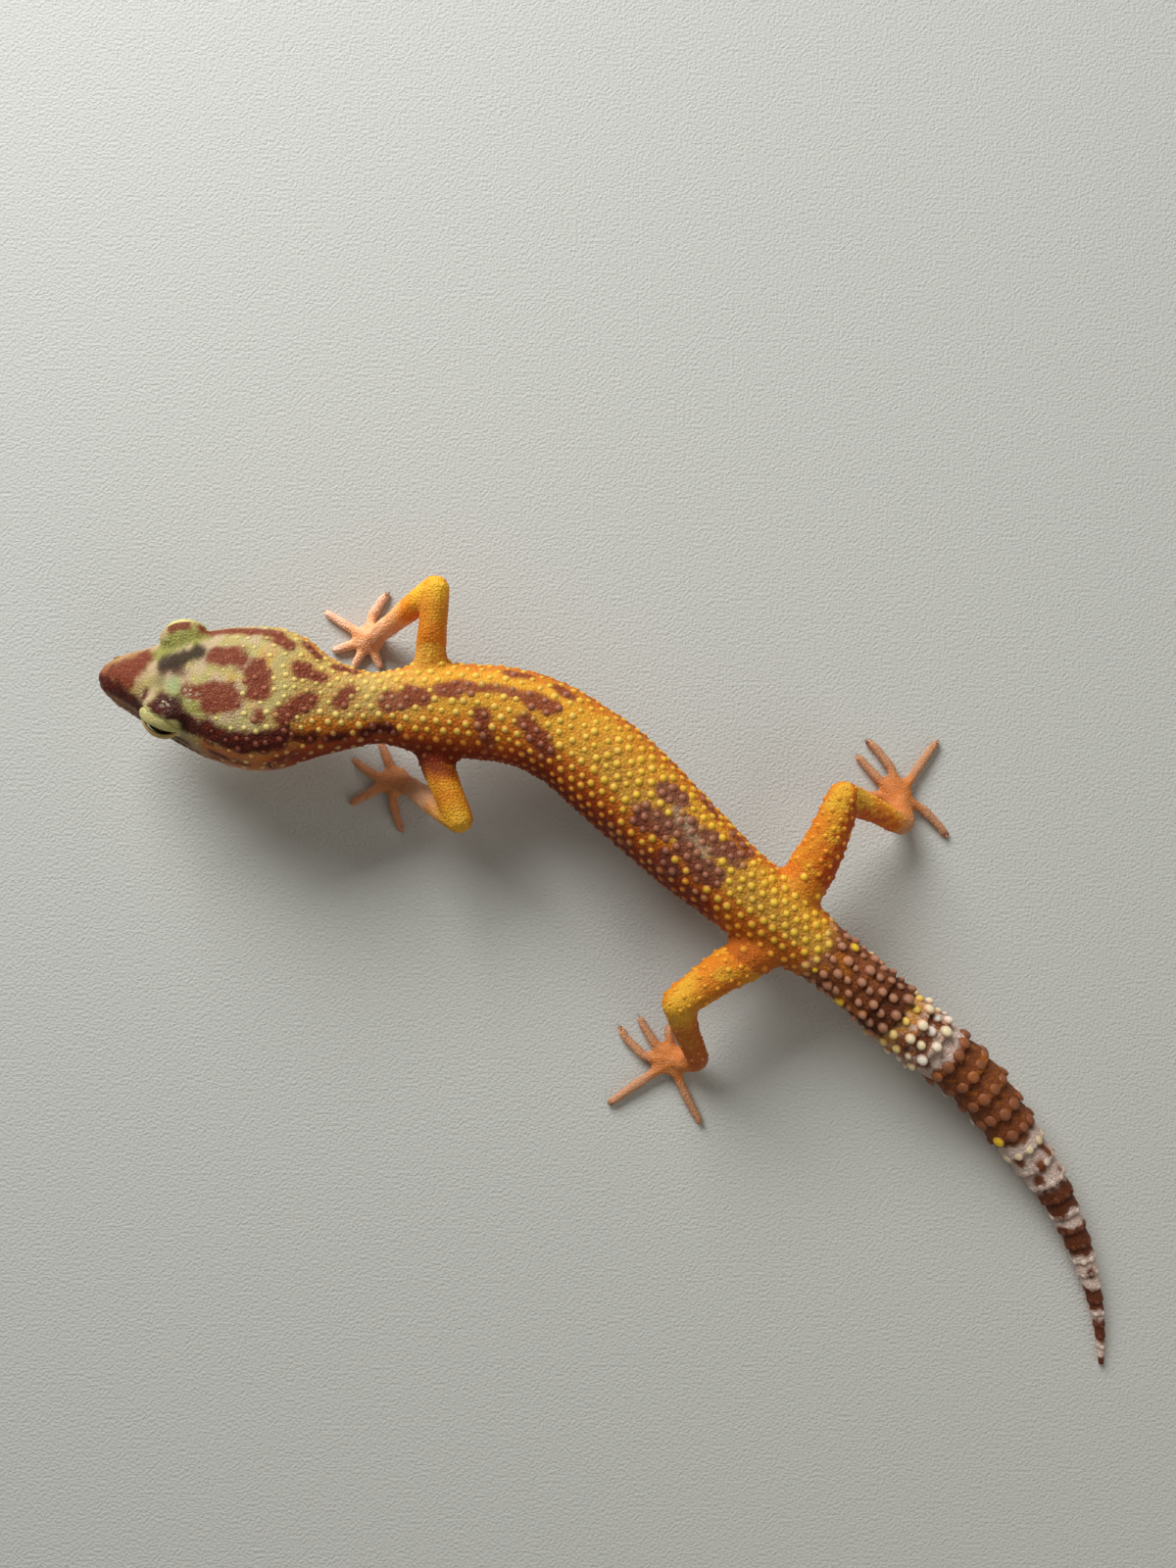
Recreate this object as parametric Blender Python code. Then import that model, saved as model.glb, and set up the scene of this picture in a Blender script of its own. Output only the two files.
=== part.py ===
"""Young leopard gecko at life size, standing in a lazy S, as a still museum model.

The animal is modelled whole: one swept form for head, neck, trunk and tail, four limbs with
their toes, and the brows. These are fused into one surface, which thin cuts then part into the
named pieces of the body. The eyeballs are separate pieces in sockets of their own.

Sizes below are in millimetres. The snout points along -X, the back along +Z, and the animal
stands on the plane Z = 0. "Station" means the distance from the tip of the snout, measured
along the spine. The animal's right side lies towards +Y at the head.
"""

import math

import bmesh
import bpy
import numpy as np
from mathutils import Matrix, Vector
from mathutils.bvhtree import BVHTree

MM = 0.001

# ---------------------------------------------------------------- driving dimensions
TOTAL_LENGTH = 164.3
GAP = 0.3
FLAT_DEPTH = 0.18
SNOUT = (-58.15, 12.5)
PLAN_CENTRE = (3.75, -24.6)

# Course of the spine in plan: (station, heading in degrees, anticlockwise from +X).
HEADING = [
    (0, -7), (14, -7.5), (24, -7.5), (29, -3), (33, 1.5), (38, -1), (42, -3.5), (46, -4),
    (54, -26.5), (62, -40.5), (70, -44), (88, -37.5), (96, -36), (104, -42), (117, -38),
    (127, -53.5), (135, -53), (142, -62.5), (150, -70), (157, -79.5), (TOTAL_LENGTH, -89.5),
]

# Half width, height of the back and height of the underside at each station.
HALF_WIDTH = [
    (0, 0.9), (0.7, 1.75), (2, 2.7), (5.4, 4.4), (8, 5.6), (11, 6.9), (15, 8.3), (20, 9.1),
    (23, 8.6), (26.5, 6.8), (29.8, 5.4), (33.5, 4.5), (37.5, 5.5), (42, 5.9), (57, 6.1),
    (63, 6.4), (75, 5.95), (83, 5.4), (90, 5.1), (99.5, 3.9), (106.5, 4.25), (112, 4.4),
    (118, 4.25), (127, 3.75), (136.5, 3.0), (142, 2.4), (150.5, 1.65), (157, 1.05),
    (TOTAL_LENGTH, 0.45),
]
BACK_HEIGHT = [
    (0, 10.8), (0.7, 11.7), (2.2, 12.7), (6, 14.1), (10, 15.2), (15, 16.2), (19, 16.5),
    (24, 16.2), (30, 15.2), (36, 14.8), (47, 15.0), (60, 14.8), (75, 14.2), (88, 13.2),
    (97, 12.0), (104, 11.4), (112, 10.6), (120, 9.2), (129, 7.4), (142, 4.6), (155, 2.4),
    (TOTAL_LENGTH, 1.0),
]
BELLY_HEIGHT = [
    (0, 8.3), (0.7, 7.5), (2.2, 6.9), (6, 6.4), (12, 6.0), (19, 6.1), (25, 7.0), (32, 7.6),
    (37, 6.6), (44, 5.0), (54, 4.0), (66, 3.6), (80, 3.7), (90, 4.2), (97, 4.2), (105, 3.0),
    (117, 1.5), (129, 0.5), (138, -0.15), (TOTAL_LENGTH, -0.15),
]
# Turn of the body about its own axis, which lifts the left cheek, and squareness of a section.
ROLL = [(0, 23), (10, 22), (24, 19), (34, 16), (44, 9), (60, 0), (TOTAL_LENGTH, 0)]
SQUARENESS = [(0, 2.2), (10, 2.5), (20, 2.5), (32, 2.1), (60, 2.25), (97, 2.2), (TOTAL_LENGTH, 2.0)]
# Height of the widest level, as a share of the section's height.
WAIST = [(0, 0.40), (10, 0.36), (22, 0.38), (36, 0.46), (TOTAL_LENGTH, 0.46)]

# Eyes: place along the head, to each side and above the head's own axis, and how many degrees
# they face forwards and upwards of straight out.
EYE_STATION = 10.1
EYE_SIDE = 4.3
EYE_RISE = 2.9
EYE_FORWARD = 20
EYE_UPWARD = 14
EYE_RADIUS = 2.4
SOCKET_RADIUS = EYE_RADIUS + GAP

# Lids: half axes of their ring and of the brow, and the shifts of both from the eye's centre
# along the head, outwards and up.
LID_RADIUS = 3.25
LID_SIZE = (LID_RADIUS, LID_RADIUS - 0.1, LID_RADIUS - 0.3)
LID_SHIFT = (0, -0.25, 0.1)
BROW_SIZE = (2.9, 1.9, 1.0)
BROW_SHIFT = (0, 0.8, 2.2)

# Opening of the lids: its half length, half height and drop, how many points each edge takes,
# and its scale at two distances from the eye's centre.
LID_OPENING_HALF_LENGTH = 2.0
LID_OPENING_HALF_HEIGHT = 1.05
LID_OPENING_DROP = 0.1
LID_EDGE_POINTS = 5
LID_OPENING_SCALES = ((1.5, 0.9), (LID_RADIUS + 1.5, 1.25))

# Mouth: the cut that parts the lower jaw from the skull.
MOUTH_CORNER_STATION = 16.0
MOUTH_LEVEL_AT_SNOUT = -0.3
MOUTH_LEVEL_AT_CORNER = -0.3
JAW_ANGLE_STATION = 20.0
JAW_CUT_START = -2.0
JAW_CUT_FOOT = -9.0
JAW_CUT_HALF_WIDTH = 14.0

# Limbs: (x, y, z, radius) along each limb, from inside the body to the foot.
LIMBS = {
    "fore_right": {
        "upper": [(-18.8, 9.6, 9.6, 3.6), (-18.7, 13.6, 10.6, 2.5), (-18.3, 17.8, 11.9, 1.9),
                  (-17.8, 22.9, 12.4, 1.8)],
        "lower": [(-17.8, 22.9, 12.4, 1.8), (-21.4, 21.1, 8.4, 1.7), (-25.2, 19.4, 3.4, 1.35),
                  (-27.3, 18.5, 1.5, 1.2)],
    },
    "fore_left": {
        "upper": [(-19.0, 7.4, 9.4, 3.6), (-18.2, 3.8, 10.2, 2.6), (-17.1, 0.4, 10.9, 2.05),
                  (-15.2, -4.2, 11.0, 1.85)],
        "lower": [(-15.2, -4.2, 11.0, 1.85), (-18.9, -2.2, 7.2, 1.7), (-22.5, -0.2, 3.2, 1.35),
                  (-24.2, 0.4, 1.5, 1.2)],
    },
    "hind_right": {
        "upper": [(23.8, -15.2, 8.2, 3.6), (26.6, -10.4, 9.2, 3.1), (28.5, -6.4, 10.2, 2.6),
                  (30.3, -1.6, 10.8, 2.2)],
        "lower": [(30.3, -1.6, 10.8, 2.2), (34.8, -3.2, 7.0, 1.7), (39.2, -4.9, 3.1, 1.55),
                  (39.3, -2.6, 1.6, 1.3)],
    },
    "hind_left": {
        "upper": [(23.6, -18.0, 8.2, 3.6), (19.2, -20.6, 9.2, 3.1), (15.6, -22.6, 10.2, 2.6),
                  (10.7, -25.9, 10.8, 2.2)],
        "lower": [(10.7, -25.9, 10.8, 2.2), (12.0, -30.2, 7.0, 1.75), (13.6, -34.3, 3.1, 1.55),
                  (11.6, -34.9, 1.6, 1.3)],
    },
}

# Feet: centre of the palm or sole, its half length, half width and heading, then the five
# toes from the inner one outwards: (heading at the root, length from the centre, bend).
FEET = {
    "fore_right": {
        "centre": (-27.6, 18.4), "size": (2.0, 1.9), "heading": 180,
        "toes": [(284, 4.0, 10), (238, 4.4, 0), (197, 5.2, 0), (152, 7.0, -6), (93, 6.7, -48)],
    },
    "fore_left": {
        "centre": (-24.3, 0.4), "size": (2.0, 1.9), "heading": 180,
        "toes": [(113, 5.5, 0), (172, 6.4, -36), (204, 6.7, 4), (255, 6.8, 42), (318, 4.6, 0)],
    },
    "hind_right": {
        "centre": (39.2, -1.7), "size": (2.5, 2.0), "heading": 85,
        "toes": [(175, 4.4, 0), (136, 7.4, -6), (95, 8.6, 44), (54, 9.1, 0), (-20, 8.6, -36)],
    },
    "hind_left": {
        "centre": (10.7, -35.0), "size": (2.5, 2.0), "heading": 185,
        "toes": [(98, 4.4, 0), (141, 7.0, -26), (180, 8.6, -62), (214, 10.0, 2), (288, 9.2, 12)],
    },
}
PALM_HEIGHT = 2.2
TOE_SHARES = (0.12, 0.45, 0.8, 1.0)
TOE_RADII = (0.82, 0.62, 0.52, 0.30)
TOE_HEIGHTS = (1.10, 0.75, 0.60, 0.28)
TOE_BEND_START = 0.3

# Cuts that part the body: stations along the spine, and places along each limb.
SPINE_CUTS = {"neck": 27.0, "thorax": 37.0, "abdomen": 57.0, "pelvis": 81.0,
              "tail_base": 98.5, "tail_middle": 120.0, "tail_tip": 142.0}
SPINE_CUT_MARGINS = (1.2, 1.5)
# Root cut of each limb: station, and distance out from the spine to the animal's right.
ROOT_CUTS = {"fore_right": (40.5, 6.7), "fore_left": (40.0, -6.7),
             "hind_right": (88.5, 6.5), "hind_left": (88.5, -6.5)}
ROOT_CUT_LENGTH = 5.5
ROOT_CUT_HEIGHT = 6.0
BEND_CUT_RADIUS = 5.0
WRIST_CUT_RADIUS = 2.4
WRIST_CUT_SHARE = 0.8
LIMB_NAMES = {
    "fore_right": ("upper_arm_right", "forearm_right", "hand_right"),
    "fore_left": ("upper_arm_left", "forearm_left", "hand_left"),
    "hind_right": ("thigh_right", "shin_right", "foot_right"),
    "hind_left": ("thigh_left", "shin_left", "foot_left"),
}

# Places inside the two pieces of the head: station, and rise above the head's axis.
HEAD_MARK = (14, 1.5)
JAW_MARK = (8, -2.5)
FOOT_MARK_HEIGHT = 0.8

# Fineness of the round forms and of the fused surface.
SECTION_SIDES = 40
LIMB_SIDES = 20
LIMB_RINGS = 8
TOE_SIDES = 14
TOE_RINGS = 5
CAP_RINGS = 4
SOCKET_FACETS = (16, 10)
EYE_FACETS = (18, 10)
FUSE_CELL = 0.28
SMOOTHING_PASSES = 7
BODY_TRIANGLES = 4800

# Block of ground whose top is the plane that the animal stands on.
GROUND_REACH = 100
GROUND_DEPTH = 10


# ---------------------------------------------------------------- curves and frames
def through(stations, at):
    """Monotone cubic through (position, value) pairs, read at one position."""
    xs = np.array([pair[0] for pair in stations], float)
    ys = np.array([pair[1] for pair in stations], float)
    step = np.diff(xs)
    slope = np.diff(ys) / step
    tangent = np.zeros(len(xs))
    tangent[0] = slope[0]
    tangent[-1] = slope[-1]
    for i in range(1, len(xs) - 1):
        before, after = slope[i - 1], slope[i]
        if before * after > 0:
            tangent[i] = 2 * before * after / (before + after)
    at = min(max(at, xs[0]), xs[-1])
    i = min(int(np.searchsorted(xs, at, side="right")) - 1, len(step) - 1)
    t = (at - xs[i]) / step[i]
    rise = ys[i] * (1 + 2 * t) * (1 - t) ** 2 + ys[i + 1] * t * t * (3 - 2 * t)
    bend = step[i] * (tangent[i] * t * (1 - t) ** 2 - tangent[i + 1] * t * t * (1 - t))
    return float(rise + bend)


def plan_point(x, y, z):
    """A point of the plan grid, in metres, with the middle of the model's box at zero."""
    return Vector((x - PLAN_CENTRE[0], y - PLAN_CENTRE[1], z)) * MM


def spine_plan(station, step=0.5):
    """Place of the spine in plan at a station, and its heading in radians."""
    x, y = SNOUT
    travelled = 0.0
    while travelled < station - 1e-9:
        stride = min(step, station - travelled)
        heading = math.radians(through(HEADING, travelled + stride / 2))
        x += stride * math.cos(heading)
        y += stride * math.sin(heading)
        travelled += stride
    return x, y, math.radians(through(HEADING, station))


def spine_frame(station):
    """Axes of the body at a station: columns are backwards, to its right, and up."""
    x, y, heading = spine_plan(station)
    back = through(BACK_HEIGHT, station)
    belly = through(BELLY_HEIGHT, station)
    level = belly + through(WAIST, station) * (back - belly)
    along = Vector((math.cos(heading), math.sin(heading), 0))
    side = Vector((-math.sin(heading), math.cos(heading), 0))
    roll = math.radians(through(ROLL, station))
    right = side * math.cos(roll) - Vector((0, 0, math.sin(roll)))
    up = Vector((0, 0, math.cos(roll))) + side * math.sin(roll)
    frame = Matrix((along, right, up)).transposed().to_4x4()
    frame.translation = plan_point(x, y, level)
    return frame


def power(value, exponent):
    return math.copysign(abs(value) ** exponent, value)


# ---------------------------------------------------------------- solids from rings
def loft(name, rings):
    """Closed solid through rings of equal count, closed by a fan at each end."""
    mesh = bmesh.new()
    levels = [[mesh.verts.new(point) for point in ring] for ring in rings]
    count = len(rings[0])
    for lower, upper in zip(levels, levels[1:]):
        for i in range(count):
            j = (i + 1) % count
            mesh.faces.new((lower[i], lower[j], upper[j], upper[i]))
    for level in (levels[0], levels[-1]):
        middle = mesh.verts.new(sum((vert.co for vert in level), Vector()) / count)
        for i in range(count):
            mesh.faces.new((level[i], level[(i + 1) % count], middle))
    bmesh.ops.recalc_face_normals(mesh, faces=mesh.faces)
    return link(name, mesh)


def link(name, mesh):
    """Turn a bmesh into an object of the scene."""
    data = bpy.data.meshes.new(name)
    mesh.to_mesh(data)
    mesh.free()
    solid = bpy.data.objects.new(name, data)
    bpy.context.scene.collection.objects.link(solid)
    return solid


def ellipsoid(name, frame, size, segments=28, rings=16):
    """Ellipsoid with the given half axes, in millimetres, in a frame."""
    mesh = bmesh.new()
    bmesh.ops.create_uvsphere(mesh, u_segments=segments, v_segments=rings, radius=1.0)
    shape = frame @ Matrix.Diagonal((size[0] * MM, size[1] * MM, size[2] * MM, 1))
    bmesh.ops.transform(mesh, matrix=shape, verts=mesh.verts)
    return link(name, mesh)


def tube(name, knots, sides=LIMB_SIDES, per_span=LIMB_RINGS):
    """Round limb through (x, y, z, radius) knots, with a rounded far end."""
    knots = [Vector(knot) for knot in knots]
    spans = []
    for i in range(len(knots) - 1):
        before = knots[max(i - 1, 0)]
        after = knots[min(i + 2, len(knots) - 1)]
        start, end = knots[i], knots[i + 1]
        for k in range(per_span):
            t = k / per_span
            spans.append(0.5 * (2 * start + (end - before) * t
                                + (2 * before - 5 * start + 4 * end - after) * t * t
                                + (3 * start - before - 3 * end + after) * t ** 3))
    spans.append(knots[-1])
    places = [Vector(span[:3]) for span in spans]
    radii = [span[3] for span in spans]
    aims = []
    for i in range(len(places)):
        aim = places[min(i + 1, len(places) - 1)] - places[max(i - 1, 0)]
        aims.append(aim.normalized())
    rings = []
    side = aims[0].cross(Vector((0, 0, 1))).normalized()
    for place, aim, radius in zip(places, aims, radii):
        side = (side - aim * side.dot(aim)).normalized()
        rings.append(ring_at(place, side, aim.cross(side), radius, sides))
    for k in range(1, CAP_RINGS + 1):
        lean = math.radians(90) * k / (CAP_RINGS + 1)
        place = places[-1] + aims[-1] * radii[-1] * math.sin(lean)
        radius = radii[-1] * math.cos(lean)
        rings.append(ring_at(place, side, aims[-1].cross(side), radius, sides))
    return loft(name, rings)


def ring_at(place, side, up, radius, sides):
    """Circle of points round a place of the plan grid, in metres."""
    ring = []
    for i in range(sides):
        angle = 2 * math.pi * i / sides
        point = place + (side * math.cos(angle) + up * math.sin(angle)) * radius
        ring.append(plan_point(*point))
    return ring


# ---------------------------------------------------------------- forms of the animal
def body_form():
    """Head, neck, trunk and tail as one sweep along the spine."""
    stations = list(np.arange(0, 8, 0.5)) + list(np.arange(8, TOTAL_LENGTH, 1.0)) + [TOTAL_LENGTH]
    rings = []
    for station in stations:
        frame = spine_frame(station)
        back = through(BACK_HEIGHT, station)
        belly = through(BELLY_HEIGHT, station)
        width = through(HALF_WIDTH, station)
        below = through(WAIST, station) * (back - belly)
        above = back - belly - below
        exponent = 2 / through(SQUARENESS, station)
        ring = []
        for i in range(SECTION_SIDES):
            angle = 2 * math.pi * i / SECTION_SIDES
            across = width * power(math.cos(angle), exponent)
            rise = power(math.sin(angle), exponent)
            rise *= above if rise > 0 else below
            ring.append(frame @ (Vector((0, across, rise)) * MM))
        rings.append(ring)
    return loft("body_form", rings)


def eye_frame(side):
    """Frame of one eye: X along the head, Y outwards through the pupil, Z up."""
    head = spine_frame(EYE_STATION)
    centre = head @ (Vector((0, side * EYE_SIDE, EYE_RISE)) * MM)
    forward = Matrix.Rotation(math.radians(side * EYE_FORWARD), 4, "Z")
    upward = Matrix.Rotation(math.radians(side * EYE_UPWARD), 4, "X")
    frame = head.to_3x3().to_4x4() @ forward @ upward
    if side < 0:
        frame = frame @ Matrix.Rotation(math.pi, 4, "Z")
    frame.translation = centre
    return frame


def lid_forms(side):
    """Fleshy ring of the lids round the eye, and the brow that shades it."""
    frame = eye_frame(side)
    lids = ellipsoid("lids", frame @ Matrix.Translation(Vector(LID_SHIFT) * MM), LID_SIZE)
    brow = ellipsoid("brow", frame @ Matrix.Translation(Vector(BROW_SHIFT) * MM), BROW_SIZE)
    return [lids, brow]


def limb_forms(limb):
    """Upper and lower length of a limb, the palm or sole, and the toes."""
    upper = LIMBS[limb]["upper"]
    lower = LIMBS[limb]["lower"]
    foot = FEET[limb]
    forms = [tube(limb + "_upper", upper), tube(limb + "_lower", lower)]
    x, y = foot["centre"]
    length, width = foot["size"]
    turn = Matrix.Rotation(math.radians(foot["heading"]), 4, "Z")
    level = PALM_HEIGHT / 2 - FLAT_DEPTH
    forms.append(ellipsoid(limb + "_palm", Matrix.Translation(plan_point(x, y, level)) @ turn,
                           (length, width, PALM_HEIGHT / 2)))
    for heading, reach, bend in foot["toes"]:
        knots = toe_knots(x, y, heading, reach, bend)
        forms.append(tube(limb + "_toe", knots, TOE_SIDES, TOE_RINGS))
    return forms


def toe_knots(x, y, heading, reach, bend):
    """Knots of one toe, which starts in the palm and bends to one side towards its claw."""
    knots = []
    travelled = 0.0
    for share, radius, level in zip(TOE_SHARES, TOE_RADII, TOE_HEIGHTS):
        bent = max(share - TOE_BEND_START, 0) / (1 - TOE_BEND_START)
        aim = math.radians(heading + bend * bent)
        stride = (share - travelled) * reach
        x += stride * math.cos(aim)
        y += stride * math.sin(aim)
        travelled = share
        knots.append((x, y, level, radius))
    return knots


# ---------------------------------------------------------------- fusing, cutting, parting
def evaluated(solid):
    """Replace an object's mesh with the result of its modifiers."""
    graph = bpy.context.evaluated_depsgraph_get()
    data = bpy.data.meshes.new_from_object(solid.evaluated_get(graph))
    solid.modifiers.clear()
    solid.data = data


def join(name, solids):
    """One object that holds the meshes of several."""
    mesh = bmesh.new()
    for solid in solids:
        mesh.from_mesh(solid.data)
        bpy.data.objects.remove(solid)
    return link(name, mesh)


def fuse(solids):
    """One even skin round overlapping solids, eased where they meet, with few triangles."""
    body = join("body", solids)
    remesh = body.modifiers.new("fuse", "REMESH")
    remesh.mode = "VOXEL"
    remesh.voxel_size = FUSE_CELL * MM
    remesh.adaptivity = 0
    ease = body.modifiers.new("ease", "SMOOTH")
    ease.factor = 0.5
    ease.iterations = SMOOTHING_PASSES
    evaluated(body)
    thin = body.modifiers.new("thin", "DECIMATE")
    thin.ratio = BODY_TRIANGLES / (2 * len(body.data.polygons))
    thin.use_collapse_triangulate = True
    evaluated(body)
    return body


def cut(solid, cutter, operation="DIFFERENCE"):
    """Boolean with a cutter, which is then removed."""
    change = solid.modifiers.new("cut", "BOOLEAN")
    change.operation = operation
    change.solver = "EXACT"
    change.object = cutter
    evaluated(solid)
    bpy.data.objects.remove(cutter)


def slab(name, frame, half_length, half_width, thickness=GAP):
    """Thin flat cutter, square to the frame's X axis."""
    mesh = bmesh.new()
    bmesh.ops.create_cube(mesh, size=2.0)
    size = Matrix.Diagonal((thickness / 2 * MM, half_length * MM, half_width * MM, 1))
    bmesh.ops.transform(mesh, matrix=frame @ size, verts=mesh.verts)
    return link(name, mesh)


def disc(name, place, aim, radius, thickness=GAP):
    """Thin round cutter across a limb, square to its aim."""
    mesh = bmesh.new()
    bmesh.ops.create_cone(mesh, cap_ends=True, segments=12, radius1=radius * MM,
                          radius2=radius * MM, depth=thickness * MM)
    turn = Vector((0, 0, 1)).rotation_difference(Vector(aim)).to_matrix().to_4x4()
    frame = Matrix.Translation(plan_point(*place)) @ turn
    bmesh.ops.transform(mesh, matrix=frame, verts=mesh.verts)
    return link(name, mesh)


def lens_cutter(side):
    """Almond-shaped prism that opens the lids over the eyeball."""
    half, rise = LID_OPENING_HALF_LENGTH, LID_OPENING_HALF_HEIGHT
    arc_radius = (half * half + rise * rise) / (2 * rise)
    spread = math.asin(half / arc_radius)
    outline = []
    for upper in (1, -1):
        for i in range(LID_EDGE_POINTS):
            angle = spread * (1 - 2 * i / LID_EDGE_POINTS) * upper
            height = (arc_radius * math.cos(angle) - (arc_radius - rise)) * upper
            outline.append((arc_radius * math.sin(angle), height))
    frame = eye_frame(side)
    rings = []
    for depth, scale in LID_OPENING_SCALES:
        rings.append([frame @ (Vector((x * scale, depth, z * scale - LID_OPENING_DROP)) * MM)
                      for x, z in outline])
    return loft("lens", rings)


def jaw_cutter():
    """Bent slab along the mouth and down behind the jaw's angle."""
    top = spine_frame(0)
    half = GAP / 2
    line = [(JAW_CUT_START, MOUTH_LEVEL_AT_SNOUT),
            (MOUTH_CORNER_STATION, MOUTH_LEVEL_AT_CORNER), (JAW_ANGLE_STATION, JAW_CUT_FOOT)]
    rings = []
    for across in (-JAW_CUT_HALF_WIDTH, JAW_CUT_HALF_WIDTH):
        upper = [(line[0][0], line[0][1] + half), (line[1][0] + half, line[1][1] + half),
                 (line[2][0] + half, line[2][1])]
        lower = [(line[2][0] - half, line[2][1]), (line[1][0] - half, line[1][1] - half),
                 (line[0][0], line[0][1] - half)]
        ring = []
        for along, rise in upper + lower:
            ring.append(top @ (Vector((along, across, rise)) * MM))
        rings.append(ring)
    return loft("jaw_cut", rings)


def limb_cuts(limb):
    """A slab along the body's side at the root, and discs at the bend and at the wrist."""
    upper = [Vector(knot[:3]) for knot in LIMBS[limb]["upper"]]
    lower = [Vector(knot[:3]) for knot in LIMBS[limb]["lower"]]
    station, offset = ROOT_CUTS[limb]
    turn = Matrix.Rotation(math.radians(90), 4, "Z")
    shift = Matrix.Translation((0, offset * MM, 0))
    root = slab("root", spine_frame(station) @ shift @ turn, ROOT_CUT_LENGTH, ROOT_CUT_HEIGHT)
    upper_aim = (upper[-1] - upper[-2]).normalized()
    lower_aim = (lower[1] - lower[0]).normalized()
    bend = disc("bend", upper[-1], upper_aim + lower_aim, BEND_CUT_RADIUS)
    place = lower[1].lerp(lower[2], WRIST_CUT_SHARE)
    wrist = disc("wrist", place, lower[2] - lower[1], WRIST_CUT_RADIUS)
    return [root, bend, wrist]


def part_body(body):
    """Thin cuts through the body, then one object for each loose piece, by its place."""
    cutters = [jaw_cutter()]
    for name, station in SPINE_CUTS.items():
        tall = through(BACK_HEIGHT, station) - through(BELLY_HEIGHT, station)
        reach = through(HALF_WIDTH, station) + SPINE_CUT_MARGINS[0]
        rise = tall / 2 + SPINE_CUT_MARGINS[1]
        cutters.append(slab("cut_" + name, spine_frame(station), reach, rise))
    for limb in LIMBS:
        cutters += limb_cuts(limb)
    cut(body, join("cuts", cutters))
    return split_loose(body)


def piece_landmarks():
    """A point inside each piece, which names it."""
    marks = {}
    for name, (station, rise) in (("head", HEAD_MARK), ("lower_jaw", JAW_MARK)):
        marks[name] = spine_frame(station) @ (Vector((0, 0, rise)) * MM)
    ends = list(SPINE_CUTS.values()) + [TOTAL_LENGTH]
    for i, name in enumerate(SPINE_CUTS):
        marks[name] = spine_frame((ends[i] + ends[i + 1]) / 2).translation
    for limb, names in LIMB_NAMES.items():
        upper, lower = LIMBS[limb]["upper"], LIMBS[limb]["lower"]
        marks[names[0]] = plan_point(*upper[2][:3])
        marks[names[1]] = plan_point(*lower[1][:3])
        marks[names[2]] = plan_point(*FEET[limb]["centre"], FOOT_MARK_HEIGHT)
    return marks


def islands(mesh):
    """Sorted vertex numbers of each loose piece of a bmesh."""
    unseen = set(range(len(mesh.verts)))
    found = []
    while unseen:
        island = {min(unseen)}
        front = list(island)
        while front:
            vert = mesh.verts[front.pop()]
            for edge in vert.link_edges:
                other = edge.other_vert(vert).index
                if other not in island:
                    island.add(other)
                    front.append(other)
        unseen -= island
        found.append(sorted(island))
    return found


def encloses(tree, point):
    """True where a point lies inside a closed surface, by the faces that a ray passes."""
    aim = Vector((0.13, 0.21, 0.97)).normalized()
    passed = 0
    place = point
    while place is not None:
        place = tree.ray_cast(place, aim)[0]
        if place is not None:
            place = place + aim * 1e-7
            passed += 1
    return passed % 2 == 1


def split_loose(body):
    """Part a mesh into its loose pieces, each named by the landmark that lies inside it."""
    mesh = bmesh.new()
    mesh.from_mesh(body.data)
    bpy.data.objects.remove(body)
    mesh.verts.ensure_lookup_table()
    marks = piece_landmarks()
    pieces = {}
    for island in islands(mesh):
        order = {old: new for new, old in enumerate(island)}
        points = [mesh.verts[i].co.copy() for i in island]
        faces = [[order[vert.index] for vert in face.verts] for face in mesh.faces
                 if face.verts[0].index in order]
        tree = BVHTree.FromPolygons(points, faces)
        name = [name for name, mark in marks.items() if encloses(tree, mark)][0]
        data = bpy.data.meshes.new(name)
        data.from_pydata(points, [], faces)
        pieces[name] = data
    mesh.free()
    return pieces


# ---------------------------------------------------------------- finish
COLOURS = {
    "head": (0.60, 0.42, 0.17), "lower_jaw": (0.62, 0.40, 0.27), "neck": (0.70, 0.42, 0.08),
    "thorax": (0.68, 0.38, 0.05), "abdomen": (0.66, 0.36, 0.04), "pelvis": (0.58, 0.38, 0.05),
    "tail_base": (0.24, 0.11, 0.07), "tail_middle": (0.20, 0.08, 0.05),
    "tail_tip": (0.32, 0.20, 0.16), "upper_arm": (0.72, 0.33, 0.06),
    "forearm": (0.70, 0.36, 0.14), "hand": (0.68, 0.42, 0.30), "thigh": (0.72, 0.30, 0.05),
    "shin": (0.70, 0.30, 0.07), "foot": (0.70, 0.40, 0.28), "eye": (0.06, 0.04, 0.02),
}
SKIN_ROUGHNESS = 0.55
EYE_ROUGHNESS = 0.08


def finish(solid, name):
    """Name a piece and give it its own material."""
    kind = name.replace("_left", "").replace("_right", "")
    material = bpy.data.materials.new(name)
    material.use_nodes = True
    shader = material.node_tree.nodes["Principled BSDF"]
    shader.inputs["Base Color"].default_value = (*COLOURS[kind], 1)
    shader.inputs["Roughness"].default_value = EYE_ROUGHNESS if kind == "eye" else SKIN_ROUGHNESS
    shader.inputs["Metallic"].default_value = 0.0
    solid.name = name
    solid.data.name = name
    solid.data.materials.clear()
    solid.data.materials.append(material)
    solid.data.shade_smooth()
    solid.data.set_sharp_from_angle(angle=math.radians(40))


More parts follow.
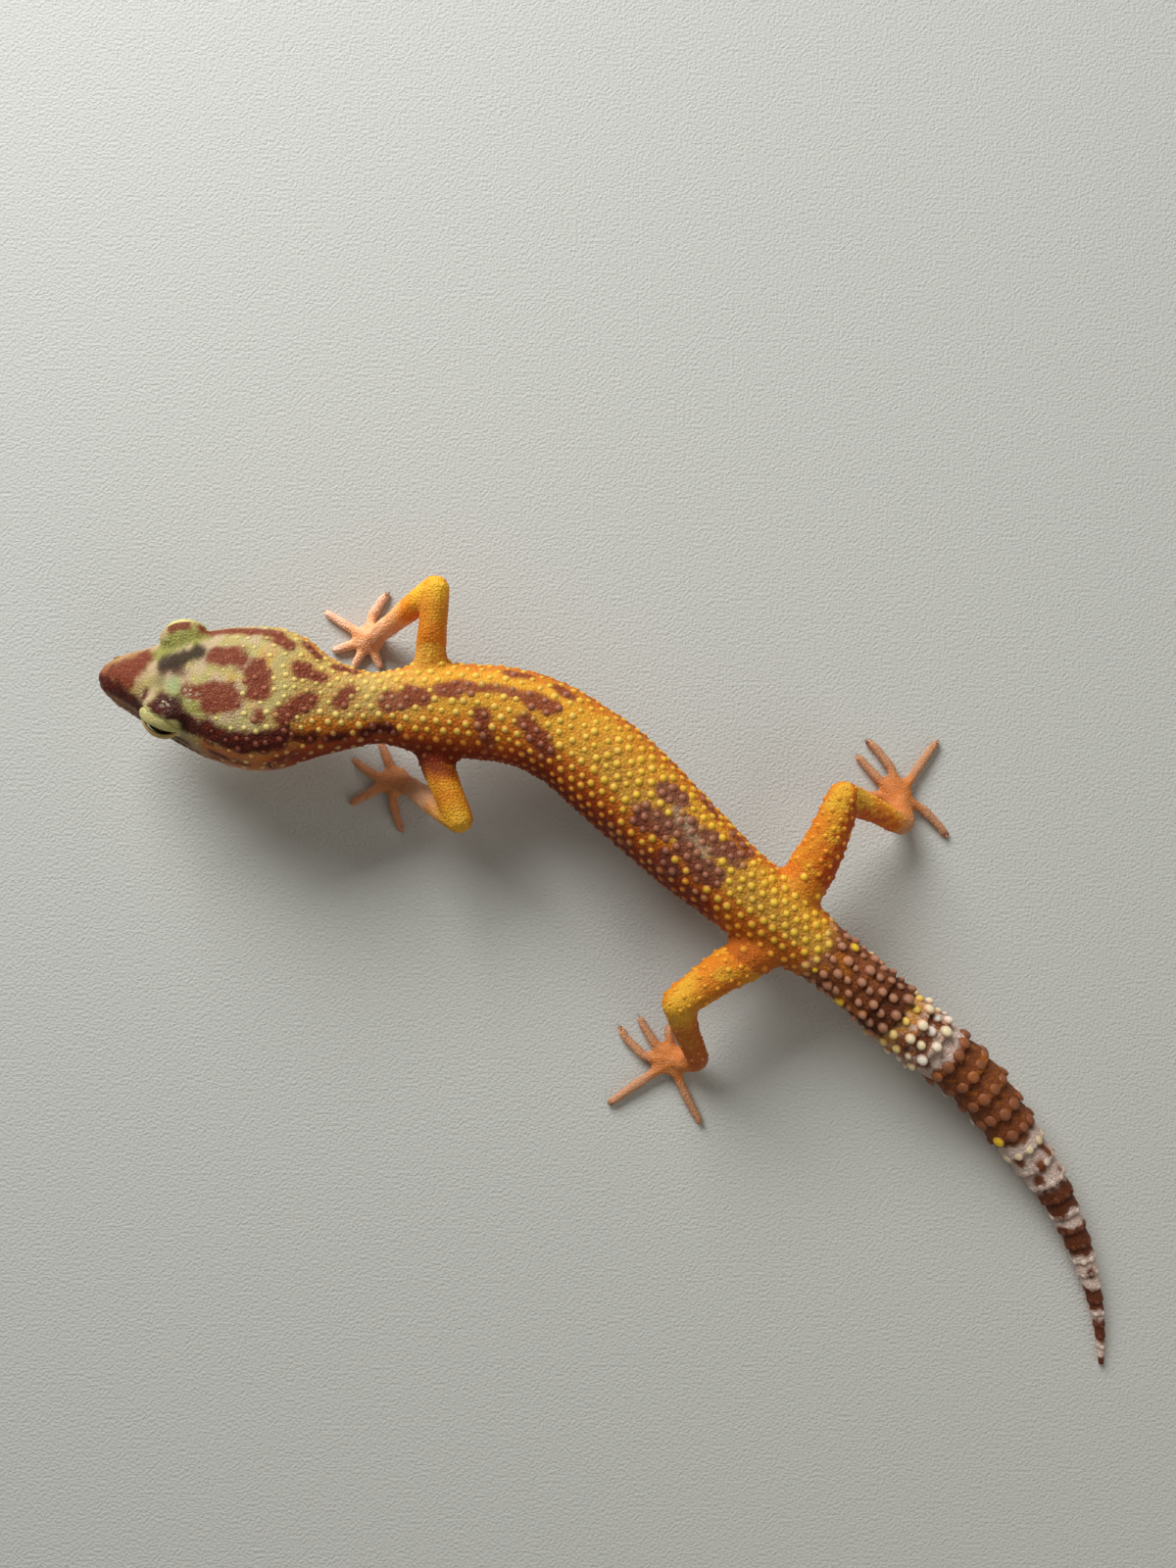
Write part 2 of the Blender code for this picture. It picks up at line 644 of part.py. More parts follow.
def main():
    for old in list(bpy.data.objects):
        bpy.data.objects.remove(old)

    forms = [body_form()]
    for side in (1, -1):
        forms += lid_forms(side)
    for limb in LIMBS:
        forms += limb_forms(limb)
    body = fuse(forms)

    level = Matrix.Rotation(math.radians(90), 4, "Y")
    ground = slab("ground", level, GROUND_REACH, GROUND_REACH, GROUND_DEPTH)
    ground.data.transform(Matrix.Translation((0, 0, -GROUND_DEPTH / 2 * MM)))
    cut(body, ground)
    for side in (1, -1):
        cut(body, ellipsoid("socket", eye_frame(side), (SOCKET_RADIUS,) * 3, *SOCKET_FACETS))
        cut(body, lens_cutter(side))

    for name, data in part_body(body).items():
        solid = bpy.data.objects.new(name, data)
        bpy.context.scene.collection.objects.link(solid)
        finish(solid, name)
    for side, name in ((1, "eye_right"), (-1, "eye_left")):
        finish(ellipsoid(name, eye_frame(side), (EYE_RADIUS,) * 3, *EYE_FACETS), name)


main()
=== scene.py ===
"""Looks of the leopard gecko: skin, tubercles, granules, lids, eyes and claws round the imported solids.

Everything is worked out in millimetres in the part's own frame and put into metres when a mesh is made.
Places on the body are given as station (arc length from the snout), and turn (degrees round the body,
0 on the ridge of the back, positive on the animal's right).
"""

import math

import bmesh
import bpy
import numpy as np
from mathutils import Matrix, Vector, kdtree
from mathutils.bvhtree import BVHTree


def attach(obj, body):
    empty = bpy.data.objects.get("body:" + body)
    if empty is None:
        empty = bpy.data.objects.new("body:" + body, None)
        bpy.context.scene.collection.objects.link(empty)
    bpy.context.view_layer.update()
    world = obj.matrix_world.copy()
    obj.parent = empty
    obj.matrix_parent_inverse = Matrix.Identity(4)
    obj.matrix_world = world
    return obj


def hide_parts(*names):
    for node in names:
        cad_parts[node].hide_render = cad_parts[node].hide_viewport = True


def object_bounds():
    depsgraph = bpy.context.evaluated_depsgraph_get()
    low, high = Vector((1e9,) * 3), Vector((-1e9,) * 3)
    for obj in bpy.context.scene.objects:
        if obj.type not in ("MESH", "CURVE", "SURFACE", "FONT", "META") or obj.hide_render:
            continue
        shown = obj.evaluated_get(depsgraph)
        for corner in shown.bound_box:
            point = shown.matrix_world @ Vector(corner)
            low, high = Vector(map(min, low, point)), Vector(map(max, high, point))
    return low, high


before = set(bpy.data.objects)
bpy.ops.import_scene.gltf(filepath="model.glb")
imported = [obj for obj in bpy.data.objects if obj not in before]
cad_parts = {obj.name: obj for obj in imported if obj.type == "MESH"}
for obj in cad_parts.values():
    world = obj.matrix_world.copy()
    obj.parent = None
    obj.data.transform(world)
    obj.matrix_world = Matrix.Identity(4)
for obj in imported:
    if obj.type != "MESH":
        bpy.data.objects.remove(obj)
CAD_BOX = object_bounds()

MM = 0.001
BOX_MARGIN = 0.005
BODY = "root"
rng = np.random.default_rng(11)

# ---- the spine, as in the solids
TOTAL_LENGTH = 164.3
SNOUT = (-58.15, 12.5)
PLAN_CENTRE = (3.75, -24.6)
HEADING = [
    (0, -7), (14, -7.5), (24, -7.5), (29, -3), (33, 1.5), (38, -1), (42, -3.5), (46, -4), (54, -26.5),
    (62, -40.5), (70, -44), (88, -37.5), (96, -36), (104, -42), (117, -38), (127, -53.5), (135, -53),
    (142, -62.5), (150, -70), (157, -79.5), (TOTAL_LENGTH, -89.5),
]
HALF_WIDTH = [
    (0, 0.9), (0.7, 1.75), (2, 2.7), (5.4, 4.4), (8, 5.6), (11, 6.9), (15, 8.3), (20, 9.1), (23, 8.6),
    (26.5, 6.8), (29.8, 5.4), (33.5, 4.5), (37.5, 5.5), (42, 5.9), (57, 6.1), (63, 6.4), (75, 5.95),
    (83, 5.4), (90, 5.1), (99.5, 3.9), (106.5, 4.25), (112, 4.4), (118, 4.25), (127, 3.75), (136.5, 3),
    (142, 2.4), (150.5, 1.65), (157, 1.05), (TOTAL_LENGTH, 0.45),
]
BACK_HEIGHT = [
    (0, 10.8), (0.7, 11.7), (2.2, 12.7), (6, 14.1), (10, 15.2), (15, 16.2), (19, 16.5), (24, 16.2),
    (30, 15.2), (36, 14.8), (47, 15), (60, 14.8), (75, 14.2), (88, 13.2), (97, 12), (104, 11.4),
    (112, 10.6), (120, 9.2), (129, 7.4), (142, 4.6), (155, 2.4), (TOTAL_LENGTH, 1),
]
BELLY_HEIGHT = [
    (0, 8.3), (0.7, 7.5), (2.2, 6.9), (6, 6.4), (12, 6), (19, 6.1), (25, 7), (32, 7.6), (37, 6.6), (44, 5),
    (54, 4), (66, 3.6), (80, 3.7), (90, 4.2), (97, 4.2), (105, 3), (117, 1.5), (129, 0.5), (138, -0.15),
    (TOTAL_LENGTH, -0.15),
]
ROLL = [(0, 23), (10, 22), (24, 19), (34, 16), (44, 9), (60, 0), (TOTAL_LENGTH, 0)]
WAIST = [(0, 0.40), (10, 0.36), (22, 0.38), (36, 0.46), (TOTAL_LENGTH, 0.46)]
EYE_STATION, EYE_SIDE, EYE_RISE, EYE_RADIUS = 10.1, 4.3, 2.9, 2.4
EYE_FORWARD, EYE_UPWARD = 20, 14
MOUTH_LEVEL = -0.3
MOUTH_CORNER = 16
EAR_STATION, EAR_TURN = 22.4, 86
THROAT_FOLD = 25.6
NOSTRIL_STATION, NOSTRIL_TURN = 1.9, 50
SOCKET, LID_REACH = 3.0, 4.2  # distances from the middle of an eye
TOE_TIP = 0.42

FEET = {  # centre of each palm or sole, and heading, length and bend of each toe
    "hand_right": ((-27.6, 18.4), [(284, 4, 10), (238, 4.4, 0), (197, 5.2, 0), (152, 7, -6), (93, 6.7, -48)]),
    "hand_left": ((-24.3, 0.4), [(113, 5.5, 0), (172, 6.4, -36), (204, 6.7, 4), (255, 6.8, 42),
                                 (318, 4.6, 0)]),
    "foot_right": ((39.2, -1.7), [(175, 4.4, 0), (136, 7.4, -6), (95, 8.6, 44), (54, 9.1, 0),
                                  (-20, 8.6, -36)]),
    "foot_left": ((10.7, -35), [(98, 4.4, 0), (141, 7, -26), (180, 8.6, -62), (214, 10, 2), (288, 9.2, 12)]),
}
LIMB_SHARES = [0, 0.3, 0.5, 0.68, 0.88, 1]  # shares of the way down a limb at its six points
LIMB_AXES = {limb: np.array(points, float) - np.array([*PLAN_CENTRE, 0]) for limb, points in {
    "fore_right": [(-18.8, 9.6, 9.6), (-18.3, 17.8, 11.9), (-17.8, 22.9, 12.4), (-21.4, 21.1, 8.4),
                   (-25.2, 19.4, 3.4), (-27.6, 18.4, 1.5)],
    "fore_left": [(-19, 7.4, 9.4), (-17.1, 0.4, 10.9), (-15.2, -4.2, 11), (-18.9, -2.2, 7.2),
                  (-22.5, -0.2, 3.2), (-24.3, 0.4, 1.5)],
    "hind_right": [(23.8, -15.2, 8.2), (28.5, -6.4, 10.2), (30.3, -1.6, 10.8), (34.8, -3.2, 7),
                   (39.2, -4.9, 3.1), (39.2, -1.7, 1.6)],
    "hind_left": [(23.6, -18, 8.2), (15.6, -22.6, 10.2), (10.7, -25.9, 10.8), (12, -30.2, 7),
                  (13.6, -34.3, 3.1), (10.7, -35, 1.6)],
}.items()}
LIMB_PARTS = {
    f"{end}_{side}": [f"{part}_{side}" for part in parts] for side in ("right", "left")
    for end, parts in (("fore", ("upper_arm", "forearm", "hand")), ("hind", ("thigh", "shin", "foot")))
}
ON_LIMBS = sum(LIMB_PARTS.values(), [])


def through(stations, at):
    """Monotone cubic through (position, value) pairs, read at an array of positions."""
    xs, ys = np.array(stations, float).T
    step = np.diff(xs)
    slope = np.diff(ys) / step
    tangent = np.concatenate(([slope[0]], np.zeros(len(xs) - 2), [slope[-1]]))
    before, after = slope[:-1], slope[1:]
    same = before * after > 0
    tangent[1:-1][same] = 2 * before[same] * after[same] / (before[same] + after[same])
    at = np.clip(at, xs[0], xs[-1])
    i = np.minimum(np.searchsorted(xs, at, side="right") - 1, len(step) - 1)
    t = (at - xs[i]) / step[i]
    rise = ys[i] * (1 + 2 * t) * (1 - t) ** 2 + ys[i + 1] * t * t * (3 - 2 * t)
    return rise + step[i] * (tangent[i] * t * (1 - t) ** 2 - tangent[i + 1] * t * t * (1 - t))


STRIDE = 0.25
STATIONS = np.arange(0, TOTAL_LENGTH + STRIDE, STRIDE)
_turns = np.radians(through(HEADING, STATIONS))
_mids = np.radians(through(HEADING, STATIONS[:-1] + STRIDE / 2))
SPINE_X = SNOUT[0] - PLAN_CENTRE[0] + np.concatenate(([0], np.cumsum(STRIDE * np.cos(_mids))))
SPINE_Y = SNOUT[1] - PLAN_CENTRE[1] + np.concatenate(([0], np.cumsum(STRIDE * np.sin(_mids))))
BACK = through(BACK_HEIGHT, STATIONS)
BELLY = through(BELLY_HEIGHT, STATIONS)
WIDE = through(HALF_WIDTH, STATIONS)
LEVEL = BELLY + through(WAIST, STATIONS) * (BACK - BELLY)
_roll = np.radians(through(ROLL, STATIONS))
_zero = np.zeros(len(STATIONS))
ALONG = np.stack([np.cos(_turns), np.sin(_turns), _zero], 1)
_side = np.stack([-np.sin(_turns), np.cos(_turns), _zero], 1)
_up = np.stack([_zero, _zero, _zero + 1], 1)
RIGHT = _side * np.cos(_roll)[:, None] - _up * np.sin(_roll)[:, None]
UP = _up * np.cos(_roll)[:, None] + _side * np.sin(_roll)[:, None]
AXIS = np.stack([SPINE_X, SPINE_Y, LEVEL], 1)


def anatomy(points):
    """Station, distance to the right, distance up and turn of points."""
    nearest = np.zeros(len(points), int)
    for start in range(0, len(points), 4000):
        part = points[start:start + 4000]
        far = (part[:, 0, None] - SPINE_X) ** 2 + (part[:, 1, None] - SPINE_Y) ** 2
        nearest[start:start + 4000] = far.argmin(1)
    off = points - AXIS[nearest]
    station = STATIONS[nearest] + (off * ALONG[nearest]).sum(1)
    right = (off * RIGHT[nearest]).sum(1)
    up = (off * UP[nearest]).sum(1)
    tall = np.where(up > 0, BACK[nearest] - LEVEL[nearest], LEVEL[nearest] - BELLY[nearest])
    turn = np.degrees(np.arctan2(right / WIDE[nearest], up / tall))
    return station, right, up, turn


def eye_frame(side):
    """Frame of one eye: X along the head, Y outwards through the pupil, Z up."""
    i = int(round(EYE_STATION / STRIDE))
    head = Matrix((Vector(ALONG[i]), Vector(RIGHT[i]), Vector(UP[i]))).transposed().to_4x4()
    head.translation = Vector(AXIS[i])
    centre = head @ Vector((0, side * EYE_SIDE, EYE_RISE))
    forward = Matrix.Rotation(math.radians(side * EYE_FORWARD), 4, "Z")
    upward = Matrix.Rotation(math.radians(side * EYE_UPWARD), 4, "X")
    result = head.to_3x3().to_4x4() @ forward @ upward
    if side < 0:
        result = result @ Matrix.Rotation(math.pi, 4, "Z")
    result.translation = centre
    return result


EYES = {"right": eye_frame(1), "left": eye_frame(-1)}


def in_eye(name, points):
    """Points in an eye's own frame, with X always towards the tail."""
    local = np.array(EYES[name].inverted())
    at = points @ local[:3, :3].T + local[:3, 3]
    if name == "left":
        at[:, 0] *= -1
    return at


# ---- small helpers
def unit(v):
    return v / np.maximum(np.linalg.norm(v, axis=-1, keepdims=True), 1e-9)


def ease(low, high, x):
    t = np.clip((x - low) / (high - low), 0, 1)
    return t * t * (3 - 2 * t)


def ripple(points, length, seed):
    """Soft random waves about that long, from -1 to 1."""
    draw = np.random.default_rng(seed)
    total = np.zeros(len(points))
    for _ in range(9):
        wave = unit(draw.normal(size=3)) * 2 * math.pi / (length * draw.uniform(0.7, 1.5))
        total += np.sin(points @ wave + draw.uniform(0, 2 * math.pi))
    return np.clip(total / 4.2, -1, 1)


def linear(colour):
    c = np.array(colour, float) / 255
    return np.where(c <= 0.04045, c / 12.92, ((c + 0.055) / 1.055) ** 2.4)


def blend(colour, other, share):
    """colour, changed towards another by one share, or by one at each point."""
    share = np.clip(share, 0, 1)
    share = share[:, None] if np.ndim(share) else share
    return colour * (1 - share) + np.atleast_2d(other) * share


def coat(base, *layers):
    """Colours laid over base one after another: pairs of a palette name, or colours, and a share."""
    for colour, share in layers:
        base = blend(base, PALETTE[colour] if isinstance(colour, str) else colour, share)
    return base


def plain(name, count):
    """One palette colour at count points."""
    return np.tile(PALETTE[name], (count, 1))


def in_scene(name, data):
    item = bpy.data.objects.new(name, data)
    bpy.context.scene.collection.objects.link(item)
    return item


def row_at(s):
    """Row of the spine tables for each station."""
    return np.clip((s / STRIDE).astype(int), 0, len(STATIONS) - 1)


def on_parts(labels, parts):
    """Where the flesh labels are those of the named parts."""
    return np.isin(labels, [i for i, name in enumerate(FLESH) if name in parts])


def ring_quads(rings, count):
    """Quads between neighbouring rings of count points."""
    return [(k * count + j, k * count + (j + 1) % count, (k + 1) * count + (j + 1) % count,
             (k + 1) * count + j) for k in range(rings - 1) for j in range(count)]


def mesh_object(name, verts, faces, colours=None):
    """An object from points in mm and a list of equal-sided face arrays, with a colour at each point."""
    mesh = bpy.data.meshes.new(name)
    low, high = np.array(CAD_BOX) / MM
    verts = np.clip(verts, low + BOX_MARGIN, high - BOX_MARGIN)
    faces = [np.asarray(f) for f in faces]
    counts = np.concatenate([np.full(len(f), f.shape[1]) for f in faces])
    corners = np.concatenate([f.ravel() for f in faces])
    mesh.vertices.add(len(verts))
    mesh.vertices.foreach_set("co", (verts * MM).astype(np.float32).ravel())
    mesh.loops.add(len(corners))
    mesh.loops.foreach_set("vertex_index", corners.astype(np.int32))
    mesh.polygons.add(len(counts))
    mesh.polygons.foreach_set("loop_start", np.concatenate(([0], np.cumsum(counts)[:-1])).astype(np.int32))
    mesh.polygons.foreach_set("use_smooth", np.ones(len(counts), bool))
    mesh.update(calc_edges=True)
    mesh.validate()
    if colours is not None:
        layer = mesh.attributes.new("Colour", "FLOAT_COLOR", "POINT")
        rgba = np.ones((len(verts), 4), np.float32)
        rgba[:, :3] = colours
        layer.data.foreach_set("color", rgba.ravel())
    return in_scene(name, mesh)


# ---- the skin's form
FLESH = [n for n in sorted(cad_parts) if not n.startswith("eye")]
GROWTH = 0.24
SKIN_CELL = 0.25


def flesh_parts():
    """Every flesh solid in mm, grown a little so that the thin cuts between them close."""
    joined = bmesh.new()
    kept, faces, labels = [], [], []
    for number, name in enumerate(FLESH):
        part = bmesh.new()
        part.from_mesh(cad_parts[name].data)
        bmesh.ops.scale(part, vec=(1 / MM,) * 3, verts=part.verts)
        bmesh.ops.remove_doubles(part, verts=part.verts, dist=1e-3)
        bmesh.ops.recalc_face_normals(part, faces=part.faces)
        start = len(kept)
        kept += [v.co.copy() for v in part.verts]
        part.verts.index_update()
        faces += [[start + v.index for v in f.verts] for f in part.faces]
        labels += [number] * len(part.faces)
        part.normal_update()
        grown = [v.co + v.normal * GROWTH for v in part.verts]
        for v, at in zip(part.verts, grown):
            v.co = at
        whole = bpy.data.meshes.new("part")
        part.to_mesh(whole)
        joined.from_mesh(whole)
        bpy.data.meshes.remove(whole)
        part.free()
    return joined, BVHTree.FromPolygons(kept, faces), np.array(labels)


def skin_cells():
    """Points and quads of one closed surface round all the flesh."""
    joined, tree, labels = flesh_parts()
    mesh = bpy.data.meshes.new("flesh")
    joined.to_mesh(mesh)
    joined.free()
    flesh = in_scene("flesh", mesh)
    cells = flesh.modifiers.new("cells", "REMESH")
    cells.mode = "VOXEL"
    cells.voxel_size = SKIN_CELL
    done = bpy.data.meshes.new_from_object(flesh.evaluated_get(bpy.context.evaluated_depsgraph_get()))
    bpy.data.objects.remove(flesh)
    verts = np.zeros(len(done.vertices) * 3, np.float32)
    done.vertices.foreach_get("co", verts)
    quads = np.zeros(len(done.loops), np.int32)
    done.loops.foreach_get("vertex_index", quads)
    bpy.data.meshes.remove(done)
    return verts.reshape(-1, 3).astype(float), quads.reshape(-1, 4), tree, labels


class Surface:
    """A closed quad surface that can be smoothed, moved along its normals and hit by rays."""

    def __init__(self, verts, quads):
        self.verts, self.quads = verts, quads
        edges = np.concatenate([quads[:, [i, (i + 1) % 4]] for i in range(4)])
        self.a, self.b = edges[:, 0], edges[:, 1]
        self.degree = np.bincount(self.a, minlength=len(verts)).astype(float)

    def average(self, values):
        """Mean of each point's neighbours."""
        if values.ndim == 1:
            return np.bincount(self.a, values[self.b], len(self.verts)) / self.degree
        return np.stack([self.average(values[:, k]) for k in range(values.shape[1])], 1)

    def relax(self, passes, strength=0.5, back=-0.53, share=None):
        """Smooths the surface without shrinking it."""
        for step in range(2 * passes):
            move = (self.average(self.verts) - self.verts) * (strength if step % 2 == 0 else back)
            self.verts = self.verts + (move if share is None else move * share[:, None])

    def normals(self):
        v, q = self.verts, self.quads
        face = np.cross(v[q[:, 2]] - v[q[:, 0]], v[q[:, 3]] - v[q[:, 1]])
        total = np.stack([sum(np.bincount(q[:, c], face[:, k], len(v)) for c in range(4))
                          for k in range(3)], 1)
        return unit(total)

    def tree(self):
        return BVHTree.FromPolygons([Vector(v) for v in self.verts.tolist()], self.quads.tolist())


verts, quads, solid_tree, solid_labels = skin_cells()


def flesh_labels(points):
    """Number in FLESH of the solid nearest to each point."""
    return np.array([solid_labels[solid_tree.find_nearest(Vector(p))[2]] for p in points.tolist()])


skin = Surface(verts, quads)
skin_label = flesh_labels(skin.verts)
is_foot = on_parts(skin_label, FEET)
is_limb = on_parts(skin_label, ON_LIMBS)
skin.relax(7, share=np.where(is_foot, 0.55, 1.0))
station, right, up, turn = anatomy(skin.verts)

# How deep the skin lies under the outline: as deep as its tubercles stand.
depth = np.where(is_limb, 0.17, through(
    [(0, 0.08), (8, 0.12), (16, 0.2), (26, 0.28), (40, 0.33), (95, 0.36), (110, 0.42), (128, 0.38),
     (142, 0.26), (156, 0.15), (TOTAL_LENGTH, 0.08)], station))
depth = np.where(is_foot, 0.05, depth)
depth = np.where(~is_limb & (np.abs(turn) > 125), depth * 0.4, depth)
for _ in range(14):
    depth = skin.average(depth)

# Tail whorls: each widens to its hind edge and steps back in.
WHORL_ENDS = np.array([
    96.6, 99.4, 102.3, 105.2, 108.2, 111.4, 114.5, 117.6, 120.8, 124, 127.1, 130.1, 132.9, 135.8, 138.5,
    141, 143.4, 145.7, 147.9, 150, 152, 153.9, 155.7, 157.4, 159, 160.5, 161.9, 163.2])
spot = np.clip(np.searchsorted(WHORL_ENDS, station), 1, len(WHORL_ENDS) - 1)
phase = (station - WHORL_ENDS[spot - 1]) / (WHORL_ENDS[spot] - WHORL_ENDS[spot - 1])
wide_here = np.interp(station, STATIONS, WIDE)
on_tail = (~is_limb) * ease(96, 108, station) * (station < WHORL_ENDS[-1])
step_in = np.maximum(1 - np.clip(phase / 0.85, 0, 1) ** 0.8, ease(0.94, 1.0, phase))
whorl = ((0.12 + 0.04 * ease(108, 116, station)) * wide_here * on_tail * step_in
         * ease(165, 110, np.abs(turn)))
groove = on_tail * np.maximum(ease(0.16, 0.03, phase), ease(0.95, 1.0, phase))

# Head: line of the mouth, hollow before the eye, ear pits, fold of the throat.
in_head = (~is_limb) * (station < 27)
side_share = ease(0.15, 0.5, np.abs(right) / np.maximum(wide_here, 0.1))


def mouth_line(half):
    line = np.exp(-((up - MOUTH_LEVEL) / half) ** 2) * (station < MOUTH_CORNER) * in_head
    return line * np.where(station < 2.5, 1, side_share)


def ear_pits(long, tall):
    return np.exp(-((station - EAR_STATION) / long) ** 2 - ((np.abs(turn) - EAR_TURN) / tall) ** 2) * in_head


hollow = np.exp(-((station - 5.2) / 1.8) ** 2 - ((np.abs(turn) - 62) / 20) ** 2) * in_head
fold = np.exp(-((station - THROAT_FOLD) / 0.35) ** 2) * ease(70, 110, np.abs(turn)) * in_head
sink = (GROWTH + depth + whorl + 0.16 * mouth_line(0.2) + 0.22 * hollow + 0.9 * ear_pits(0.42, 8.5)
        + 0.12 * fold)
skin.verts = skin.verts - skin.normals() * sink[:, None]
skin.relax(1, share=np.where(is_foot, 0.5, 0.6 - 0.45 * on_tail))

# Toes: round, nearly even in width and blunt at the tip.
TOE_ROUND = [(0.3, 0.72), (0.5, 0.6), (0.8, 0.5), (1.0, 0.44)]
TOE_JOINTS = (0, 0.12, 0.45, 0.8, 1.0)
TOE_LEVEL = [(0.12, 1.1), (0.45, 0.75), (0.8, 0.56), (1.0, 0.44)]


def toe_lines():
    """Foot, length and centre line of each toe: the shares along it and the points there."""
    lines = []
    shares = np.linspace(TOE_JOINTS[1], 1, 60)
    for foot, (centre, toes) in FEET.items():
        for heading, reach, bend in toes:
            knots = [np.array(centre, float)]
            for before, share in zip(TOE_JOINTS, TOE_JOINTS[1:]):
                aim = math.radians(heading + bend * max(share - 0.3, 0) / 0.7)
                step = (share - before) * reach
                knots.append(knots[-1] + step * np.array([math.cos(aim), math.sin(aim)]))
            knots = np.array(knots)
            at = through([(share, i) for i, share in enumerate(TOE_JOINTS)], shares)
            low = np.clip(at.astype(int), 0, 3)
            flat = knots[low] + (at - low)[:, None] * (knots[low + 1] - knots[low])
            line = np.column_stack([flat - PLAN_CENTRE, through(TOE_LEVEL, shares)])
            lines.append((foot, reach, shares, line))
    return lines


TOES = toe_lines()
foot_points = np.nonzero(is_foot)[0]
spread_out = np.full(len(foot_points), np.inf)
toe_push = np.zeros((len(foot_points), 3))
for foot, reach, shares, line in TOES:
    usable = shares < 1 - TOE_TIP / reach
    axis, along_toe = line[usable], shares[usable]
    away = skin.verts[foot_points][:, None, :] - axis[None]
    gap = np.linalg.norm(away, axis=2)
    nearest = gap.argmin(1)
    least = gap[np.arange(len(gap)), nearest]
    share = along_toe[nearest]
    wanted = through(TOE_ROUND, share)
    outward = away[np.arange(len(gap)), nearest] / np.maximum(least, 1e-6)[:, None]
    push = outward * ((wanted - least) * ease(0.34, 0.55, share))[:, None]
    closer = (least < spread_out) & (least < 1.3)
    toe_push[closer] = push[closer]
    spread_out = np.minimum(spread_out, least)
skin.verts[foot_points] += toe_push
skin.relax(1, share=0.4 * is_foot)

skin_normals = skin.normals()
skin_tree = skin.tree()
station, right, up, turn = anatomy(skin.verts)
print("skin", len(skin.verts), "points")

# ---- markings
PALETTE = {k: linear(v) for k, v in {
    "yellow": (242, 174, 50), "olive": (196, 154, 66), "orange": (220, 112, 22), "red": (176, 58, 12),
    "maroon": (122, 30, 10), "earth": (186, 112, 48), "belly": (228, 184, 158), "blotch": (136, 50, 24),
    "blotch_pale": (182, 116, 78), "lumbar": (134, 78, 60), "cream": (194, 176, 112), "green": (158, 156, 76),
    "cyan": (168, 182, 130), "slate": (58, 40, 22), "lavender": (112, 76, 58), "grey": (150, 130, 92),
    "dark": (46, 30, 22), "dark_brown": (80, 18, 8), "head_blotch": (122, 44, 20), "lid": (232, 220, 146),
    "snout": (176, 112, 54), "nose": (170, 104, 68), "lip": (124, 54, 26), "limb": (232, 134, 28),
    "limb_yellow": (240, 182, 52), "joint": (184, 84, 22), "hand": (232, 172, 130), "toe": (228, 180, 152),
    "palm": (212, 120, 48), "tail": (136, 74, 38), "tail_dark": (78, 30, 14), "pale": (224, 196, 182),
    "tail_orange": (200, 116, 34), "bump_yellow": (238, 194, 40), "bump_cream": (232, 210, 128),
    "bump_blotch": (166, 106, 80), "bump_tail": (184, 130, 100), "bump_tail_dark": (150, 98, 68),
    "bump_white": (240, 228, 214), "bump_limb": (236, 154, 38), "bump_head": (156, 88, 60),
    "fleck": (222, 210, 176), "shell": (206, 178, 144), "cheek": (190, 84, 30),
    "shade": (132, 52, 16), "sole": (222, 140, 80), "toe_hind": (208, 154, 118), "red_leg": (190, 64, 6),
}.items()}

# Each mark is a stroke: points of (station, turn), and its half width in mm.
HEAD_MARKS = [
    ([(2.7, -12), (4.3, 4), (6, 18)], 1.2), ([(3, -18), (4.7, -25)], 1), ([(4.9, -20), (6, 4)], 0.85),
    ([(15.1, 14), (17.5, 15)], 1.25), ([(12.4, 44), (14.8, 46), (18.6, 45)], 0.85),
    ([(19.8, 46), (21.3, 43), (22.4, 37)], 1.05), ([(20.1, 6), (20.7, -8)], 1.5),
    ([(15.6, -21), (17.5, -20)], 1.65), ([(12.7, -20), (14.6, -19)], 0.95), ([(21.2, -27)], 0.78),
    ([(24.4, 19), (27.2, 19)], 0.9), ([(24, -24), (26.4, -10)], 1.25), ([(31, 12)], 0.8),
    ([(29.9, -8), (30.3, 3)], 0.85), ([(16.1, -84)], 0.5), ([(18.4, -79), (20, -78)], 0.5),
    ([(23.7, -72), (25.1, -70)], 0.7), ([(15.5, 74), (18.5, 72)], 0.8), ([(28.6, 46), (31, 52)], 0.8),
    ([(24.6, 52), (26.2, 46)], 0.8),
]
DARK_MARKS = [
    ([(0.9, -42), (3, -47), (4.9, -53), (6.6, -58)], 1.1), ([(7.7, -33)], 0.5),
    ([(9.9, -34), (11.6, -38), (12.9, -45)], 0.9), ([(12.8, -48), (15.6, -50)], 1.2),
    ([(15.6, -50), (18, -51), (20.6, -51), (22.6, -48), (24, -45)], 1.3), ([(9.2, -74), (12.6, -78)], 0.4),
    ([(15.8, -73), (17.4, -75)], 0.42), ([(25.6, -47), (27.2, -52)], 0.75),
    ([(28.9, -56), (30.2, -58)], 0.8), ([(32.6, -56), (35.4, -48)], 0.85),
]
